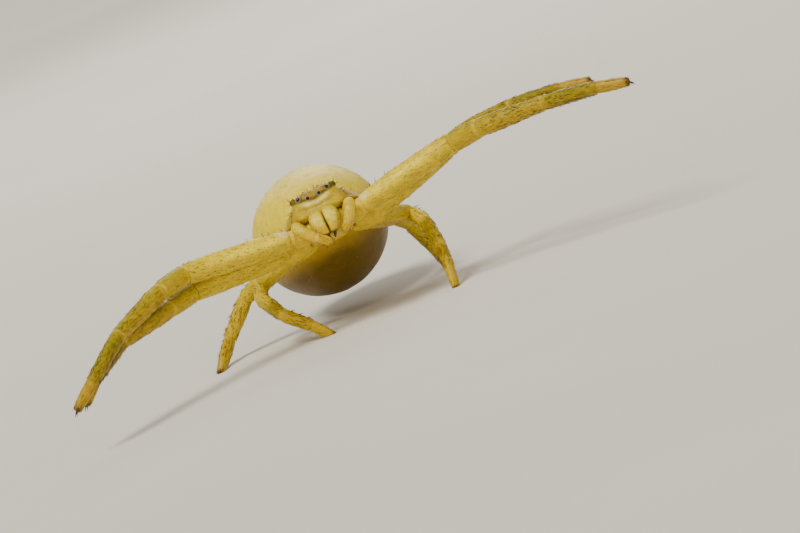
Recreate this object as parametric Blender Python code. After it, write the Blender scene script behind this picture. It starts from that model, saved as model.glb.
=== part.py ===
# Crab spider at life size, standing with its two long front pairs of legs spread wide.
# Every size below is in millimetres, and MM turns it into metres.
# The spider faces -Y, its own left side is +X, and the floor that it stands on is Z = 0.

import math

import bmesh
import bpy
from mathutils import Matrix, Vector

MM = 0.001

# Gaps that keep neighbouring pieces apart
JOINT_GAP = 0.12
SEAT_GAP = 0.04

# How the front part of the body is held over the floor
BODY_CENTRE = (0.05, 1.32, 3.87)
NOSE_UP = 9.0
LEFT_SIDE_UP = 4.0

# Carapace from front to rear, along the body's own Y
CARAPACE_HALF_WIDTH = 1.60
CARAPACE_TOP = 0.73
CARAPACE_STATIONS = (
    # place along Y, half width, half width of the flat top, top, rim (both as heights), fullness
    (-1.52, 0.42, 0.34, 0.40, 0.10, 3.0),
    (-1.47, 0.74, 0.56, 0.60, 0.03, 3.4),
    (-1.36, 0.90, 0.67, 0.67, -0.02, 3.6),
    (-1.15, 1.08, 0.72, 0.71, -0.07, 3.6),
    (-0.85, 1.26, 0.73, CARAPACE_TOP, -0.13, 3.2),
    (-0.45, 1.46, 0.74, CARAPACE_TOP, -0.23, 3.0),
    (0.00, 1.57, 0.74, 0.71, -0.31, 2.8),
    (0.50, CARAPACE_HALF_WIDTH, 0.72, 0.65, -0.35, 2.7),
    (0.95, 1.47, 0.66, 0.50, -0.37, 2.6),
    (1.30, 1.16, 0.55, 0.25, -0.37, 2.5),
    (1.52, 0.78, 0.40, 0.00, -0.37, 2.4),
    (1.62, 0.40, 0.25, -0.18, -0.38, 2.4),
)
RIM_DROP = 0.14
# Underside of the rim: parts of the half width, and of the drop
RIM_UNDERSIDE = ((-0.93, 0.6), (-0.6, 1.0), (-0.2, 1.0), (0.2, 1.0), (0.6, 1.0), (0.93, 0.6))

# Sternum block under the carapace, between the leg roots
STERNUM_STATIONS = (
    # place along Y, half width, bottom
    (-1.00, 0.36, -0.86),
    (-0.70, 0.62, -0.96),
    (-0.20, 0.78, -1.02),
    (0.35, 0.76, -1.03),
    (0.85, 0.54, -1.00),
    (1.25, 0.24, -0.90),
)
STERNUM_TOP = -0.30
# Below 1 the cross section is a rounded box, at 1 an ellipse
STERNUM_ROUNDNESS = 0.7

# Eyes: name, distance from the middle, place along Y, height, radius
EYES = (
    ("eye_anterior_median", 0.195, -1.475, 0.485, 0.082),
    ("eye_anterior_lateral", 0.49, -1.385, 0.55, 0.10),
    ("eye_posterior_median", 0.26, -1.03, 0.69, 0.07),
    ("eye_posterior_lateral", 0.71, -1.10, 0.575, 0.072),
)
# Mounds under the side eyes: distance from the middle, place along Y, height, radius
TUBERCLES = (
    (0.49, -1.30, 0.52, 0.15),
    (0.66, -1.12, 0.55, 0.145),
)

# Chelicerae and fangs
CHELICERA_ROOT = (0.285, -1.36, -0.02)
CHELICERA_TIP = (0.185, -1.56, -0.84)
CHELICERA_HALF_WIDTH = 0.25
CHELICERA_HALF_DEPTH = 0.27
# Place from root to tip, and the parts of the half width and half depth there
CHELICERA_PROFILE = (
    (0.0, 0.80, 0.80),
    (0.15, 0.95, 1.0),
    (0.4, 1.0, 1.04),
    (0.7, 0.86, 0.84),
    (0.9, 0.66, 0.62),
    (1.0, 0.42, 0.42),
)
FANG_LENGTH = 0.30
FANG_THICKNESS = 0.13
FANG_CURL = 70.0
FANG_STEPS = 6
FANG_INSET = 0.05
FANG_DROP = 0.02
# Inwards, backwards and downwards parts of the curl
FANG_LEAN = (0.25, 0.6, 0.75)
FANG_PROFILE = ((0.0, 1.0), (0.5, 0.75), (1.0, 0.25))
FANG_PLACES = (0.0, 0.3, 0.6, 0.85, 1.0)

# Mouthparts between the palp roots
LABIUM = (0.0, -1.17, -0.80)
LABIUM_RADIUS = 0.20
LABIUM_STRETCH = (0.9, 0.75, 1.0)
MAXILLA = (0.27, -1.20, -0.72)
MAXILLA_RADIUS = 0.22
MAXILLA_STRETCH = (1.0, 0.75, 1.15)

# Palps: points of each bent axis in the body's frame, for the left and the right one
PALP_ROUTES = {
    "left": (
        (0.66, -1.02, -0.52),
        (0.98, -1.62, -0.16),
        (0.86, -1.90, -0.45),
        (0.68, -1.98, -0.78),
        (0.40, -1.88, -1.02),
    ),
    "right": (
        (-0.66, -1.02, -0.52),
        (-0.98, -1.62, -0.16),
        (-0.84, -1.90, -0.42),
        (-0.52, -2.00, -0.80),
        (-0.04, -1.86, -1.17),
    ),
}
PALP_THICKNESS = 0.36
PALP_PROFILE = (
    (0.0, 0.80),
    (0.2, 1.0),
    (0.45, 1.0),
    (0.5, 1.06),
    (0.6, 0.94),
    (0.75, 1.0),
    (0.9, 0.9),
    (1.0, 0.45),
)
PALP_PLACES = (0.0, 0.12, 0.25, 0.36, 0.44, 0.5, 0.56, 0.64, 0.74, 0.84, 0.93, 1.0)

# Abdomen and its stalk
ABDOMEN_CENTRE = (-0.28, 5.80, 2.78)
ABDOMEN_HALF = (2.27, 2.80, 2.22)
ABDOMEN_TILT = (-5.0, -4.0, 0.0)
ABDOMEN_WIDER_BEHIND = 0.13
ABDOMEN_NARROWER_ENDS = 0.04
ABDOMEN_TALLER_BEHIND = 0.05
ABDOMEN_FLATTER_BELOW = 0.97
ABDOMEN_ROUNDS = 28
ABDOMEN_RINGS = 18
STALK_START = (0.0, 1.62 + JOINT_GAP, -0.30)
STALK_END = (0.0, -0.8 * ABDOMEN_HALF[1], 0.25)
STALK_THICKNESS = 0.5
STALK_PROFILE = ((0.0, 0.9), (1.0, 1.3))

# Spinnerets: middle of the hub on the abdomen, its radius, and the three pairs of cones
SPINNERET_HUB = (0.0, ABDOMEN_HALF[1] * 0.985 + JOINT_GAP, -0.62)
SPINNERET_HUB_RADIUS = 0.30
SPINNERET_HUB_STRETCH = (1.15, 0.7, 1.0)
# Distance from the middle, height, length
SPINNERET_CONES = ((0.14, -0.12, 0.42), (0.09, 0.02, 0.30), (0.16, 0.14, 0.36))
SPINNERET_ROOT = 0.11
SPINNERET_TIP = 0.05
SPINNERET_START = 0.10
SPINNERET_SPREAD = 8.0
# A cone this far above or below the hub's middle tilts as much as it spreads
SPINNERET_TILT_HEIGHT = 0.12

# Legs: lengths of femur, patella, tibia, metatarsus and tarsus for each pair
LEG_LENGTHS = {
    1: (3.65, 1.30, 2.50, 2.10, 1.15),
    2: (3.45, 1.25, 2.35, 1.95, 1.08),
    3: (2.05, 0.85, 1.35, 1.00, 0.70),
    4: (2.25, 0.88, 1.45, 1.00, 0.72),
}
FEMUR_THICKNESS = {1: 0.80, 2: 0.74, 3: 0.60, 4: 0.60}
# Thickness along each segment, as parts of the femur's, for long front legs and short rear ones
FRONT_PROFILES = {
    "coxa": ((0.0, 0.50), (0.25, 0.70), (0.60, 0.76), (0.74, 0.66), (0.86, 0.78), (1.0, 0.74)),
    "femur": ((0.0, 0.74), (0.10, 0.88), (0.35, 1.0), (0.70, 0.98), (0.90, 0.92), (1.0, 0.84)),
    "patella": ((0.0, 0.84), (0.25, 0.88), (0.75, 0.86), (1.0, 0.76)),
    "tibia": ((0.0, 0.75), (0.2, 0.80), (0.6, 0.72), (1.0, 0.62)),
    "metatarsus": ((0.0, 0.62), (0.3, 0.63), (1.0, 0.55)),
    "tarsus": ((0.0, 0.50), (0.5, 0.48), (0.85, 0.40), (1.0, 0.24)),
}
REAR_PROFILES = {
    "coxa": ((0.0, 0.62), (0.25, 0.88), (0.60, 0.96), (0.74, 0.84), (0.86, 0.96), (1.0, 0.90)),
    "femur": ((0.0, 0.88), (0.12, 0.96), (0.40, 1.0), (0.75, 0.94), (0.92, 0.88), (1.0, 0.84)),
    "patella": ((0.0, 0.84), (0.25, 0.90), (0.75, 0.88), (1.0, 0.82)),
    "tibia": ((0.0, 0.80), (0.2, 0.88), (0.6, 0.82), (1.0, 0.74)),
    "metatarsus": ((0.0, 0.72), (0.3, 0.74), (1.0, 0.66)),
    "tarsus": ((0.0, 0.62), (0.5, 0.60), (0.85, 0.54), (1.0, 0.40)),
}
# Where each segment gets its rings, as parts of its length
SEGMENT_PLACES = {
    "coxa": (0.0, 0.25, 0.6, 0.74, 0.86, 1.0),
    "femur": (0.0, 0.05, 0.12, 0.35, 0.7, 0.86, 0.93, 1.0),
    "patella": (0.0, 0.14, 0.3, 0.6, 0.85, 1.0),
    "tibia": (0.0, 0.08, 0.25, 0.6, 0.92, 1.0),
}
# Width of a leg over its height
LEG_FLATNESS = 0.9
# Roots of the legs on the body: inner end of the coxa, and tip of the trochanter, for the left side
COXA_ROOTS = {
    1: ((0.70, -0.72, -0.66), (1.33, -0.95, -0.44)),
    2: ((0.84, -0.20, -0.74), (1.58, -0.22, -0.76)),
    3: ((0.82, 0.34, -0.76), (1.50, 0.60, -0.86)),
    4: ((0.66, 0.80, -0.76), (1.18, 1.30, -0.86)),
}
# Pose of each leg: azimuth (0 is straight ahead, 90 is outwards) and elevation of its five segments
LEG_POSES = {
    ("left", 1): ((75, 14), (46, 9), (61, 2), (52, -1), (67, -9)),
    ("right", 1): ((77, 5), (43, -5), (44, -14), (40, -25), (52, -31)),
    ("left", 2): ((117, 14), (38, 20), (45, 9), (55, 1), (76, -6)),
    ("right", 2): ((73, 1.4), (42, -5), (49, -6), (37, -18), (38, -32)),
    ("left", 3): ((147, -14), (28, -26), (10, -41), (-2, -43), (-4, -48)),
    ("right", 3): ((134, -20), (8, -22), (-24, -27), (-88, -42), (-94, -38)),
    ("left", 4): ((156, -12), (152, -28), (150, -52), (162, -46), (170, -20)),
    ("right", 4): ((131, -14), (116, -26), (84, -47), (34, -34), (14, -24)),
}
STANDING_PAIRS = (3, 4)
SOLE_REACH = 0.12
# Where the foot has its cross sections: parts of the metatarsus, then of the tarsus
METATARSUS_PLACES = (0.0, 0.3, 0.9, 1.0)
TARSUS_PLACES = (0.06, 0.5, 0.85, 1.0)
# Two claws on each foot
CLAW_LENGTH = 0.30
CLAW_ROOT = 0.09
CLAW_SPREAD = 16.0
CLAW_SINK = 0.12
CLAW_SINK_ON_FLOOR = 0.02
CLAW_POINT = 0.25
CLAW_DROOP = 0.12
CLAW_HEIGHT_ON_FLOOR = 0.10

# Facets
LIMB_SIDES = 10
BODY_SIDES = 28
STERNUM_SIDES = 12
CHELICERA_SIDES = 12
CORNER_STEPS = 8
# A joint's curve: shortest reach, reach for the bend, longest share of a segment
CORNER_LEAST = 0.08
CORNER_EASE = 1.15
CORNER_SHARE = 0.46
LEG_END_RADIUS = 0.1
BALL_DETAIL = 2

# Colours as sRGB parts, roughness
COLOURS = {
    "carapace": ((0.72, 0.68, 0.46), 0.42),
    "abdomen": ((0.86, 0.88, 0.62), 0.45),
    "spinnerets": ((0.70, 0.62, 0.38), 0.5),
    "eye": ((0.06, 0.05, 0.10), 0.12),
    "chelicera": ((0.90, 0.86, 0.74), 0.35),
    "fang": ((0.12, 0.07, 0.05), 0.25),
    "mouthparts": ((0.80, 0.74, 0.52), 0.45),
    "palp": ((0.88, 0.82, 0.48), 0.42),
    "coxa": ((0.90, 0.86, 0.72), 0.42),
    "femur": ((0.84, 0.84, 0.42), 0.40),
    "patella": ((0.78, 0.80, 0.30), 0.40),
    "tibia": ((0.70, 0.70, 0.22), 0.42),
    "foot": ((0.66, 0.60, 0.20), 0.45),
}


def clear_scene():
    for existing in list(bpy.data.objects):
        bpy.data.objects.remove(existing, do_unlink=True)


def new_collection(name):
    collection = bpy.data.collections.new(name)
    bpy.context.scene.collection.children.link(collection)
    return collection


def srgb_to_linear(value):
    if value <= 0.04045:
        return value / 12.92
    return ((value + 0.055) / 1.055) ** 2.4


def finish_material(finish):
    # One Principled surface for each kind of sub-part
    colour, roughness = COLOURS[finish]
    material = bpy.data.materials.get(finish) or bpy.data.materials.new(finish)
    material.use_nodes = True
    shader = material.node_tree.nodes["Principled BSDF"]
    shader.inputs["Base Color"].default_value = [srgb_to_linear(c) for c in colour] + [1.0]
    shader.inputs["Roughness"].default_value = roughness
    shader.inputs["Metallic"].default_value = 0.0
    return material


def place_mesh(name, bm, finish, collection, parent=None):
    bmesh.ops.recalc_face_normals(bm, faces=bm.faces)
    mesh = bpy.data.meshes.new(name)
    bm.to_mesh(mesh)
    bm.free()
    mesh.shade_smooth()
    placed = bpy.data.objects.new(name, mesh)
    placed.parent = parent
    collection.objects.link(placed)
    if finish:
        mesh.materials.append(finish_material(finish))
    return placed


def loft(rings):
    # Skin over rings of equal count, closed by a flat face at both ends
    bm = bmesh.new()
    rows = [[bm.verts.new(point * MM) for point in ring] for ring in rings]
    count = len(rows[0])
    for lower, upper in zip(rows, rows[1:]):
        for k in range(count):
            after = (k + 1) % count
            bm.faces.new((lower[k], lower[after], upper[after], upper[k]))
    bm.faces.new(rows[0])
    bm.faces.new(rows[-1])
    return bm


def ellipse_ring(centre, side, up, half_width, half_height, count=LIMB_SIDES):
    ring = []
    for k in range(count):
        angle = 2 * math.pi * k / count
        across = side * (half_width * math.cos(angle))
        ring.append(centre + across + up * (half_height * math.sin(angle)))
    return ring


def profile_value(profile, place):
    # Value of a (place, value) profile, straight between its points
    for (a, value_a), (b, value_b) in zip(profile, profile[1:]):
        if place <= b:
            return value_a + (value_b - value_a) * (place - a) / (b - a)
    return profile[-1][1]


def rounded_axis(points, radii):
    # The polyline with each corner turned into a curve; marks holds the middle of each corner
    axis = [points[0]]
    marks = [0]
    for before, corner, after, radius in zip(points, points[1:], points[2:], radii[1:]):
        into = corner - before
        out = after - corner
        bend = into.angle(out)
        reach = max(CORNER_LEAST, radius * math.tan(bend / 2) * CORNER_EASE)
        reach = min(reach, CORNER_SHARE * into.length, CORNER_SHARE * out.length)
        start = corner - into.normalized() * reach
        end = corner + out.normalized() * reach
        for k in range(CORNER_STEPS + 1):
            t = k / CORNER_STEPS
            axis.append(start * (1 - t) ** 2 + corner * (2 * t * (1 - t)) + end * t ** 2)
            if 2 * k == CORNER_STEPS:
                marks.append(len(axis) - 1)
    axis.append(points[-1])
    marks.append(len(axis) - 1)
    return axis, marks


def trimmed_axis(axis, cut_start, cut_end):
    # The axis with a length taken off each end
    def shorten(path, cut):
        path = list(path)
        while cut > 0:
            step = (path[1] - path[0]).length
            if step > cut:
                path[0] = path[0].lerp(path[1], cut / step)
                break
            cut -= step
            path.pop(0)
        return path

    path = shorten(axis, cut_start)
    path = shorten(path[::-1], cut_end)
    return path[::-1]


def sweep_rings(axis, places, profile, thickness, flatness=LEG_FLATNESS, swell=0.0):
    # Rings across the axis at the given parts of its length; flatness is width over height
    lengths = [0.0]
    for a, b in zip(axis, axis[1:]):
        lengths.append(lengths[-1] + (b - a).length)
    rings = []
    up = Vector((0, 0, 1))
    for place in places:
        goal = place * lengths[-1]
        k = 0
        while k < len(axis) - 2 and lengths[k + 1] < goal:
            k += 1
        span = lengths[k + 1] - lengths[k]
        centre = axis[k].lerp(axis[k + 1], (goal - lengths[k]) / span)
        # The direction is taken over the two spans nearest to this place
        first = k - 1 if goal - lengths[k] < span / 2 else k
        before = axis[max(0, first)]
        after = axis[min(len(axis) - 1, first + 2)]
        tangent = (after - before).normalized()
        up = (up - tangent * up.dot(tangent)).normalized()
        side = tangent.cross(up)
        half = 0.5 * thickness * profile_value(profile, place) + swell
        rings.append(ellipse_ring(centre, side, up, half * flatness + swell * (1 - flatness), half))
    return rings


def keep_largest_body(mesh):
    # Drops every loose scrap but the largest closed surface
    bm = bmesh.new()
    bm.from_mesh(mesh)
    unseen = set(bm.verts)
    groups = []
    while unseen:
        stack = [unseen.pop()]
        group = set(stack)
        while stack:
            for edge in stack.pop().link_edges:
                for vert in edge.verts:
                    if vert in unseen:
                        unseen.discard(vert)
                        group.add(vert)
                        stack.append(vert)
        groups.append(group)
    groups.sort(key=len)
    scraps = [vert for group in groups[:-1] for vert in group]
    if scraps:
        bmesh.ops.delete(bm, geom=scraps, context="VERTS")
    bm.to_mesh(mesh)
    bm.free()


def combine(target, tools, operation):
    # Applies one Boolean of the target with a whole collection of closed meshes, then removes them
    collection = new_collection("tools_" + target.name)
    collection.hide_render = True
    for tool in tools:
        for holder in list(tool.users_collection):
            holder.objects.unlink(tool)
        collection.objects.link(tool)
    modifier = target.modifiers.new(operation.lower(), "BOOLEAN")
    modifier.operation = operation
    modifier.operand_type = "COLLECTION"
    modifier.collection = collection
    modifier.solver = "EXACT"
    bpy.context.view_layer.update()
    graph = bpy.context.evaluated_depsgraph_get()
    result = bpy.data.meshes.new_from_object(target.evaluated_get(graph))
    target.modifiers.clear()
    keep_largest_body(result)
    result.name = target.name
    target.data = result
    for tool in tools:
        bpy.data.objects.remove(tool, do_unlink=True)
    bpy.data.collections.remove(collection)


def sphere(name, centre, radius, collection, parent, finish=None, scale=(1, 1, 1)):
    bm = bmesh.new()
    bmesh.ops.create_icosphere(bm, subdivisions=BALL_DETAIL, radius=radius * MM)
    for vert in bm.verts:
        vert.co = Vector([c * s for c, s in zip(vert.co, scale)])
    placed = place_mesh(name, bm, finish, collection, parent)
    placed.location = Vector(centre) * MM
    return placed


def carapace_ring(y, half_width, top_half_width, top, rim, fullness):
    # Sloping cheeks and a rounded flat top above the rim, nearly flat below it
    ring = []
    upper = BODY_SIDES // 2
    for k in range(upper + 1):
        angle = math.pi * k / upper
        c, s = math.cos(angle), math.sin(angle)
        across = math.copysign(abs(c) ** (2 / fullness), c)
        height = abs(s) ** (2 / fullness)
        reach = half_width + (top_half_width - half_width) * height
        ring.append(Vector((reach * across, y, rim + (top - rim) * height)))
    for part, drop in RIM_UNDERSIDE:
        ring.append(Vector((half_width * part, y, rim - RIM_DROP * drop)))
    return ring


def sternum_ring(y, half_width, bottom):
    ring = []
    for k in range(STERNUM_SIDES):
        angle = 2 * math.pi * k / STERNUM_SIDES
        c, s = math.cos(angle), math.sin(angle)
        middle = (STERNUM_TOP + bottom) / 2
        height = (STERNUM_TOP - bottom) / 2
        across = math.copysign(abs(c) ** STERNUM_ROUNDNESS, c)
        tall = math.copysign(abs(s) ** STERNUM_ROUNDNESS, s)
        ring.append(Vector((half_width * across, y, middle + height * tall)))
    return ring


def chelicera_rings(side, swell=0.0):
    root = Vector(CHELICERA_ROOT)
    tip = Vector(CHELICERA_TIP)
    rings = []
    for place, width, depth in CHELICERA_PROFILE:
        centre = root.lerp(tip, place)
        half_width = CHELICERA_HALF_WIDTH * width
        half_depth = CHELICERA_HALF_DEPTH * depth
        # The two stay the same small distance apart along the middle
        centre.x = side * (SEAT_GAP / 2 + half_width)
        if place == 0.0:
            centre.z += swell
        rings.append(ellipse_ring(centre, Vector((1, 0, 0)), Vector((0, 1, 0)), half_width + swell,
                                  half_depth + swell, CHELICERA_SIDES))
    return rings


def build_head(parts, body):
    shell = loft([carapace_ring(*station) for station in CARAPACE_STATIONS])
    head = place_mesh("cephalothorax", shell, "carapace", parts, body)
    block = loft([sternum_ring(*station) for station in STERNUM_STATIONS])
    sternum = place_mesh("sternum", block, None, parts, body)
    mounds = []
    for x, y, z, radius in TUBERCLES:
        for side in (1, -1):
            mounds.append(sphere("tubercle", (side * x, y, z), radius, parts, body))
    combine(head, [sternum] + mounds, "UNION")
    return head


def build_eyes(parts, body):
    seats = []
    for name, x, y, z, radius in EYES:
        for side, side_name in ((1, "left"), (-1, "right")):
            centre = (side * x, y, z)
            sphere(name + "_" + side_name, centre, radius, parts, body, "eye")
            seats.append(sphere("seat", centre, radius + SEAT_GAP, parts, body))
    return seats


def build_jaws(parts, body):
    seats = []
    for side, side_name in ((1, "left"), (-1, "right")):
        place_mesh("chelicera_" + side_name, loft(chelicera_rings(side)), "chelicera", parts, body)
        seats.append(place_mesh("seat", loft(chelicera_rings(side, SEAT_GAP)), None, parts, body))
        # The fang folds inwards and back under the tip of its chelicera
        tip = Vector(CHELICERA_TIP)
        start = Vector((side * (tip.x - FANG_INSET), tip.y, tip.z - SEAT_GAP - FANG_DROP))
        axis = []
        for k in range(FANG_STEPS + 1):
            turn = math.radians(FANG_CURL) * k / FANG_STEPS
            inwards = -side * FANG_LEAN[0] * math.sin(turn)
            backwards = FANG_LEAN[1] * (1 - math.cos(turn))
            downwards = -FANG_LEAN[2] * math.sin(turn)
            axis.append(start + Vector((inwards, backwards, downwards)) * FANG_LENGTH)
        rings = sweep_rings(axis, FANG_PLACES, FANG_PROFILE, FANG_THICKNESS, 1.0)
        place_mesh("fang_" + side_name, loft(rings), "fang", parts, body)
    return seats


def build_mouthparts(parts, body):
    labium = sphere("mouthparts", LABIUM, LABIUM_RADIUS, parts, body, "mouthparts", LABIUM_STRETCH)
    x, y, z = MAXILLA
    lobes = []
    for side in (1, -1):
        place = (side * x, y, z)
        lobes.append(sphere("maxilla", place, MAXILLA_RADIUS, parts, body, None, MAXILLA_STRETCH))
    combine(labium, lobes, "UNION")


def build_palps(parts, body):
    for side_name, route in PALP_ROUTES.items():
        points = [Vector(point) for point in route]
        axis, _ = rounded_axis(points, [PALP_THICKNESS / 2] * len(points))
        rings = sweep_rings(axis, PALP_PLACES, PALP_PROFILE, PALP_THICKNESS, 1.0)
        place_mesh("palp_" + side_name, loft(rings), "palp", parts, body)


def build_abdomen(parts, body, root):
    bm = bmesh.new()
    bmesh.ops.create_uvsphere(bm, u_segments=ABDOMEN_ROUNDS, v_segments=ABDOMEN_RINGS, radius=1.0)
    # The poles of the sphere point to the front and to the rear
    bmesh.ops.rotate(bm, verts=bm.verts, matrix=Matrix.Rotation(math.radians(90), 3, "X"))
    for vert in bm.verts:
        x, y, z = vert.co
        wide = 1 + ABDOMEN_WIDER_BEHIND * y - ABDOMEN_NARROWER_ENDS * y * y
        tall = (1 + ABDOMEN_TALLER_BEHIND * y) * (ABDOMEN_FLATTER_BELOW if z < 0 else 1.0)
        across, along, height = ABDOMEN_HALF
        vert.co = Vector((x * wide * across, y * along, z * tall * height)) * MM
    abdomen = place_mesh("abdomen", bm, "abdomen", parts, root)
    abdomen.location = Vector(ABDOMEN_CENTRE) * MM
    abdomen.rotation_euler = [math.radians(a) for a in ABDOMEN_TILT]
    bpy.context.view_layer.update()
    front = abdomen.matrix_world @ (Vector(STALK_END) * MM)
    stalk_start = body.matrix_world @ (Vector(STALK_START) * MM)
    axis = [(stalk_start / MM).lerp(front / MM, k / 4) for k in range(5)]
    rings = sweep_rings(axis, (0.0, 0.5, 1.0), STALK_PROFILE, STALK_THICKNESS, 1.0)
    stalk = place_mesh("stalk", loft(rings), None, parts)
    combine(abdomen, [stalk], "UNION")
    return abdomen


def build_spinnerets(parts, abdomen):
    # Three pairs of short cones on a low hub, on the rear end
    base = Vector(SPINNERET_HUB)
    bm = bmesh.new()
    bmesh.ops.create_icosphere(bm, subdivisions=BALL_DETAIL, radius=SPINNERET_HUB_RADIUS * MM)
    for vert in bm.verts:
        vert.co = Vector([c * s for c, s in zip(vert.co, SPINNERET_HUB_STRETCH)])
    hub = place_mesh("spinnerets", bm, "spinnerets", parts, abdomen)
    hub.location = base * MM
    cones = []
    for x, z, length in SPINNERET_CONES:
        for side in (1, -1):
            cone = bmesh.new()
            bmesh.ops.create_cone(cone, cap_ends=True, segments=8, radius1=SPINNERET_ROOT * MM,
                                  radius2=SPINNERET_TIP * MM, depth=length * MM)
            bmesh.ops.rotate(cone, verts=cone.verts, matrix=Matrix.Rotation(math.radians(-90), 3, "X"))
            placed = place_mesh("cone", cone, None, parts, abdomen)
            placed.location = (base + Vector((side * x, SPINNERET_START + length / 2, z))) * MM
            # The upper cones turn down and the lower ones up
            tilt = SPINNERET_SPREAD * z / SPINNERET_TILT_HEIGHT
            placed.rotation_euler = (math.radians(-tilt), 0, math.radians(-side * SPINNERET_SPREAD))
            cones.append(placed)
    combine(hub, cones, "UNION")


def direction(azimuth, elevation):
    a = math.radians(azimuth)
    e = math.radians(elevation)
    return Vector((math.cos(e) * math.sin(a), -math.cos(e) * math.cos(a), math.sin(e)))


def leg_points(side_name, pair, body):
    # Joints of one leg from the inner end of the coxa to the tip; standing feet come down to the floor
    side = 1 if side_name == "left" else -1
    points = []
    for place in COXA_ROOTS[pair]:
        local = Vector((side * place[0], place[1], place[2])) * MM
        points.append((body.matrix_world @ local) / MM)
    for length, (azimuth, elevation) in zip(LEG_LENGTHS[pair], LEG_POSES[(side_name, pair)]):
        points.append(points[-1] + direction(side * azimuth, elevation) * length)
    if pair in STANDING_PAIRS:
        ankle, tip = points[-2], points[-1]
        reach = LEG_LENGTHS[pair][-1]
        flat = Vector((tip.x - ankle.x, tip.y - ankle.y, 0)).normalized()
        points[-1] = ankle + flat * math.sqrt(max(0.01, reach ** 2 - ankle.z ** 2)) - Vector((0, 0, ankle.z))
    return points


def cut_at_floor(bm):
    bmesh.ops.bisect_plane(bm, geom=list(bm.verts) + list(bm.edges) + list(bm.faces), plane_co=(0, 0, 0),
                           plane_no=(0, 0, 1), clear_inner=True)
    rim = [edge for edge in bm.edges if edge.is_boundary]
    bmesh.ops.contextual_create(bm, geom=rim)


def add_claws(foot, before, tip, standing, parts, root):
    # Two short cones sunk into the tip; on a standing foot they point outwards just above the floor
    forward = (tip - before).normalized()
    base = tip - forward * CLAW_SINK
    if standing:
        forward = Vector((forward.x, forward.y, 0)).normalized()
        base = Vector((tip.x, tip.y, CLAW_HEIGHT_ON_FLOOR)) - forward * CLAW_SINK_ON_FLOOR
    claws = []
    for spread in (CLAW_SPREAD, -CLAW_SPREAD):
        aim = Matrix.Rotation(math.radians(spread), 3, "Z") @ forward
        aim = (aim - Vector((0, 0, CLAW_DROOP))).normalized()
        bm = bmesh.new()
        bmesh.ops.create_cone(bm, cap_ends=True, segments=6, radius1=CLAW_ROOT * MM,
                              radius2=CLAW_POINT * CLAW_ROOT * MM, depth=CLAW_LENGTH * MM)
        claw = place_mesh("claw", bm, None, parts, root)
        claw.rotation_euler = aim.to_track_quat("Z", "Y").to_euler()
        claw.location = (base + aim * (0.5 * CLAW_LENGTH)) * MM
        claws.append(claw)
    combine(foot, claws, "UNION")


def place_segment(name, bm, finish, parts, root, joint):
    # The segment's origin goes to the joint that it turns on
    bmesh.ops.translate(bm, verts=bm.verts, vec=-joint * MM)
    placed = place_mesh(name, bm, finish, parts, root)
    placed.location = joint * MM
    return placed


def build_leg(side_name, pair, body, parts, root):
    points = leg_points(side_name, pair, body)
    thickness = FEMUR_THICKNESS[pair]
    profiles = FRONT_PROFILES if pair < 3 else REAR_PROFILES
    names = ("coxa", "femur", "patella", "tibia", "metatarsus", "tarsus")
    radii = [0.5 * thickness * profiles[name][0][1] for name in names] + [LEG_END_RADIUS]
    tip = points[-1]
    if pair in STANDING_PAIRS:
        last = (points[-1] - points[-2]).normalized()
        points[-1] = tip + last * SOLE_REACH
    axis, marks = rounded_axis(points, radii)
    prefix = "leg_" + side_name + "_" + str(pair) + "_"
    seat = None
    for index, name in enumerate(names[:4]):
        piece = axis[marks[index]:marks[index + 1] + 1]
        piece = trimmed_axis(piece, 0.0 if index == 0 else JOINT_GAP / 2, JOINT_GAP / 2)
        rings = sweep_rings(piece, SEGMENT_PLACES[name], profiles[name], thickness)
        place_segment(prefix + name, loft(rings), name, parts, root, points[index])
        if index == 0:
            grown = sweep_rings(piece, SEGMENT_PLACES[name], profiles[name], thickness, swell=SEAT_GAP)
            shift = (piece[0] - piece[1]).normalized() * SEAT_GAP * 2
            grown[0] = [point + shift for point in grown[0]]
            seat = place_mesh("seat", loft(grown), None, parts, root)
    # Metatarsus and tarsus make one piece, the foot
    foot_axis = trimmed_axis(axis[marks[4]:], JOINT_GAP / 2, 0.0)
    whole = LEG_LENGTHS[pair][3] + LEG_LENGTHS[pair][4]
    share = LEG_LENGTHS[pair][3] / whole
    profile = [(place * share, value) for place, value in profiles["metatarsus"]]
    ankle = TARSUS_PLACES[0]
    profile += [(share + (1 - share) * max(place, ankle), value) for place, value in profiles["tarsus"]]
    places = [place * share for place in METATARSUS_PLACES]
    places += [share + place * (1 - share) for place in TARSUS_PLACES]
    bm = loft(sweep_rings(foot_axis, places, profile, thickness))
    if pair in STANDING_PAIRS:
        cut_at_floor(bm)
    foot = place_segment(prefix + "foot", bm, "foot", parts, root, points[4])
    add_claws(foot, points[-2], tip, pair in STANDING_PAIRS, parts, root)
    return seat


def centre_over_origin(parts, root):
    # The middle of the whole box goes over the origin, with the floor left at Z = 0
    bpy.context.view_layer.update()
    lowest = Vector((1e9, 1e9, 1e9))
    highest = -lowest
    for placed in parts.objects:
        for vert in placed.data.vertices:
            point = placed.matrix_world @ vert.co
            lowest = Vector(map(min, lowest, point))
            highest = Vector(map(max, highest, point))
    middle = (lowest + highest) / 2
    root.location -= Vector((middle.x, middle.y, 0))


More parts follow.
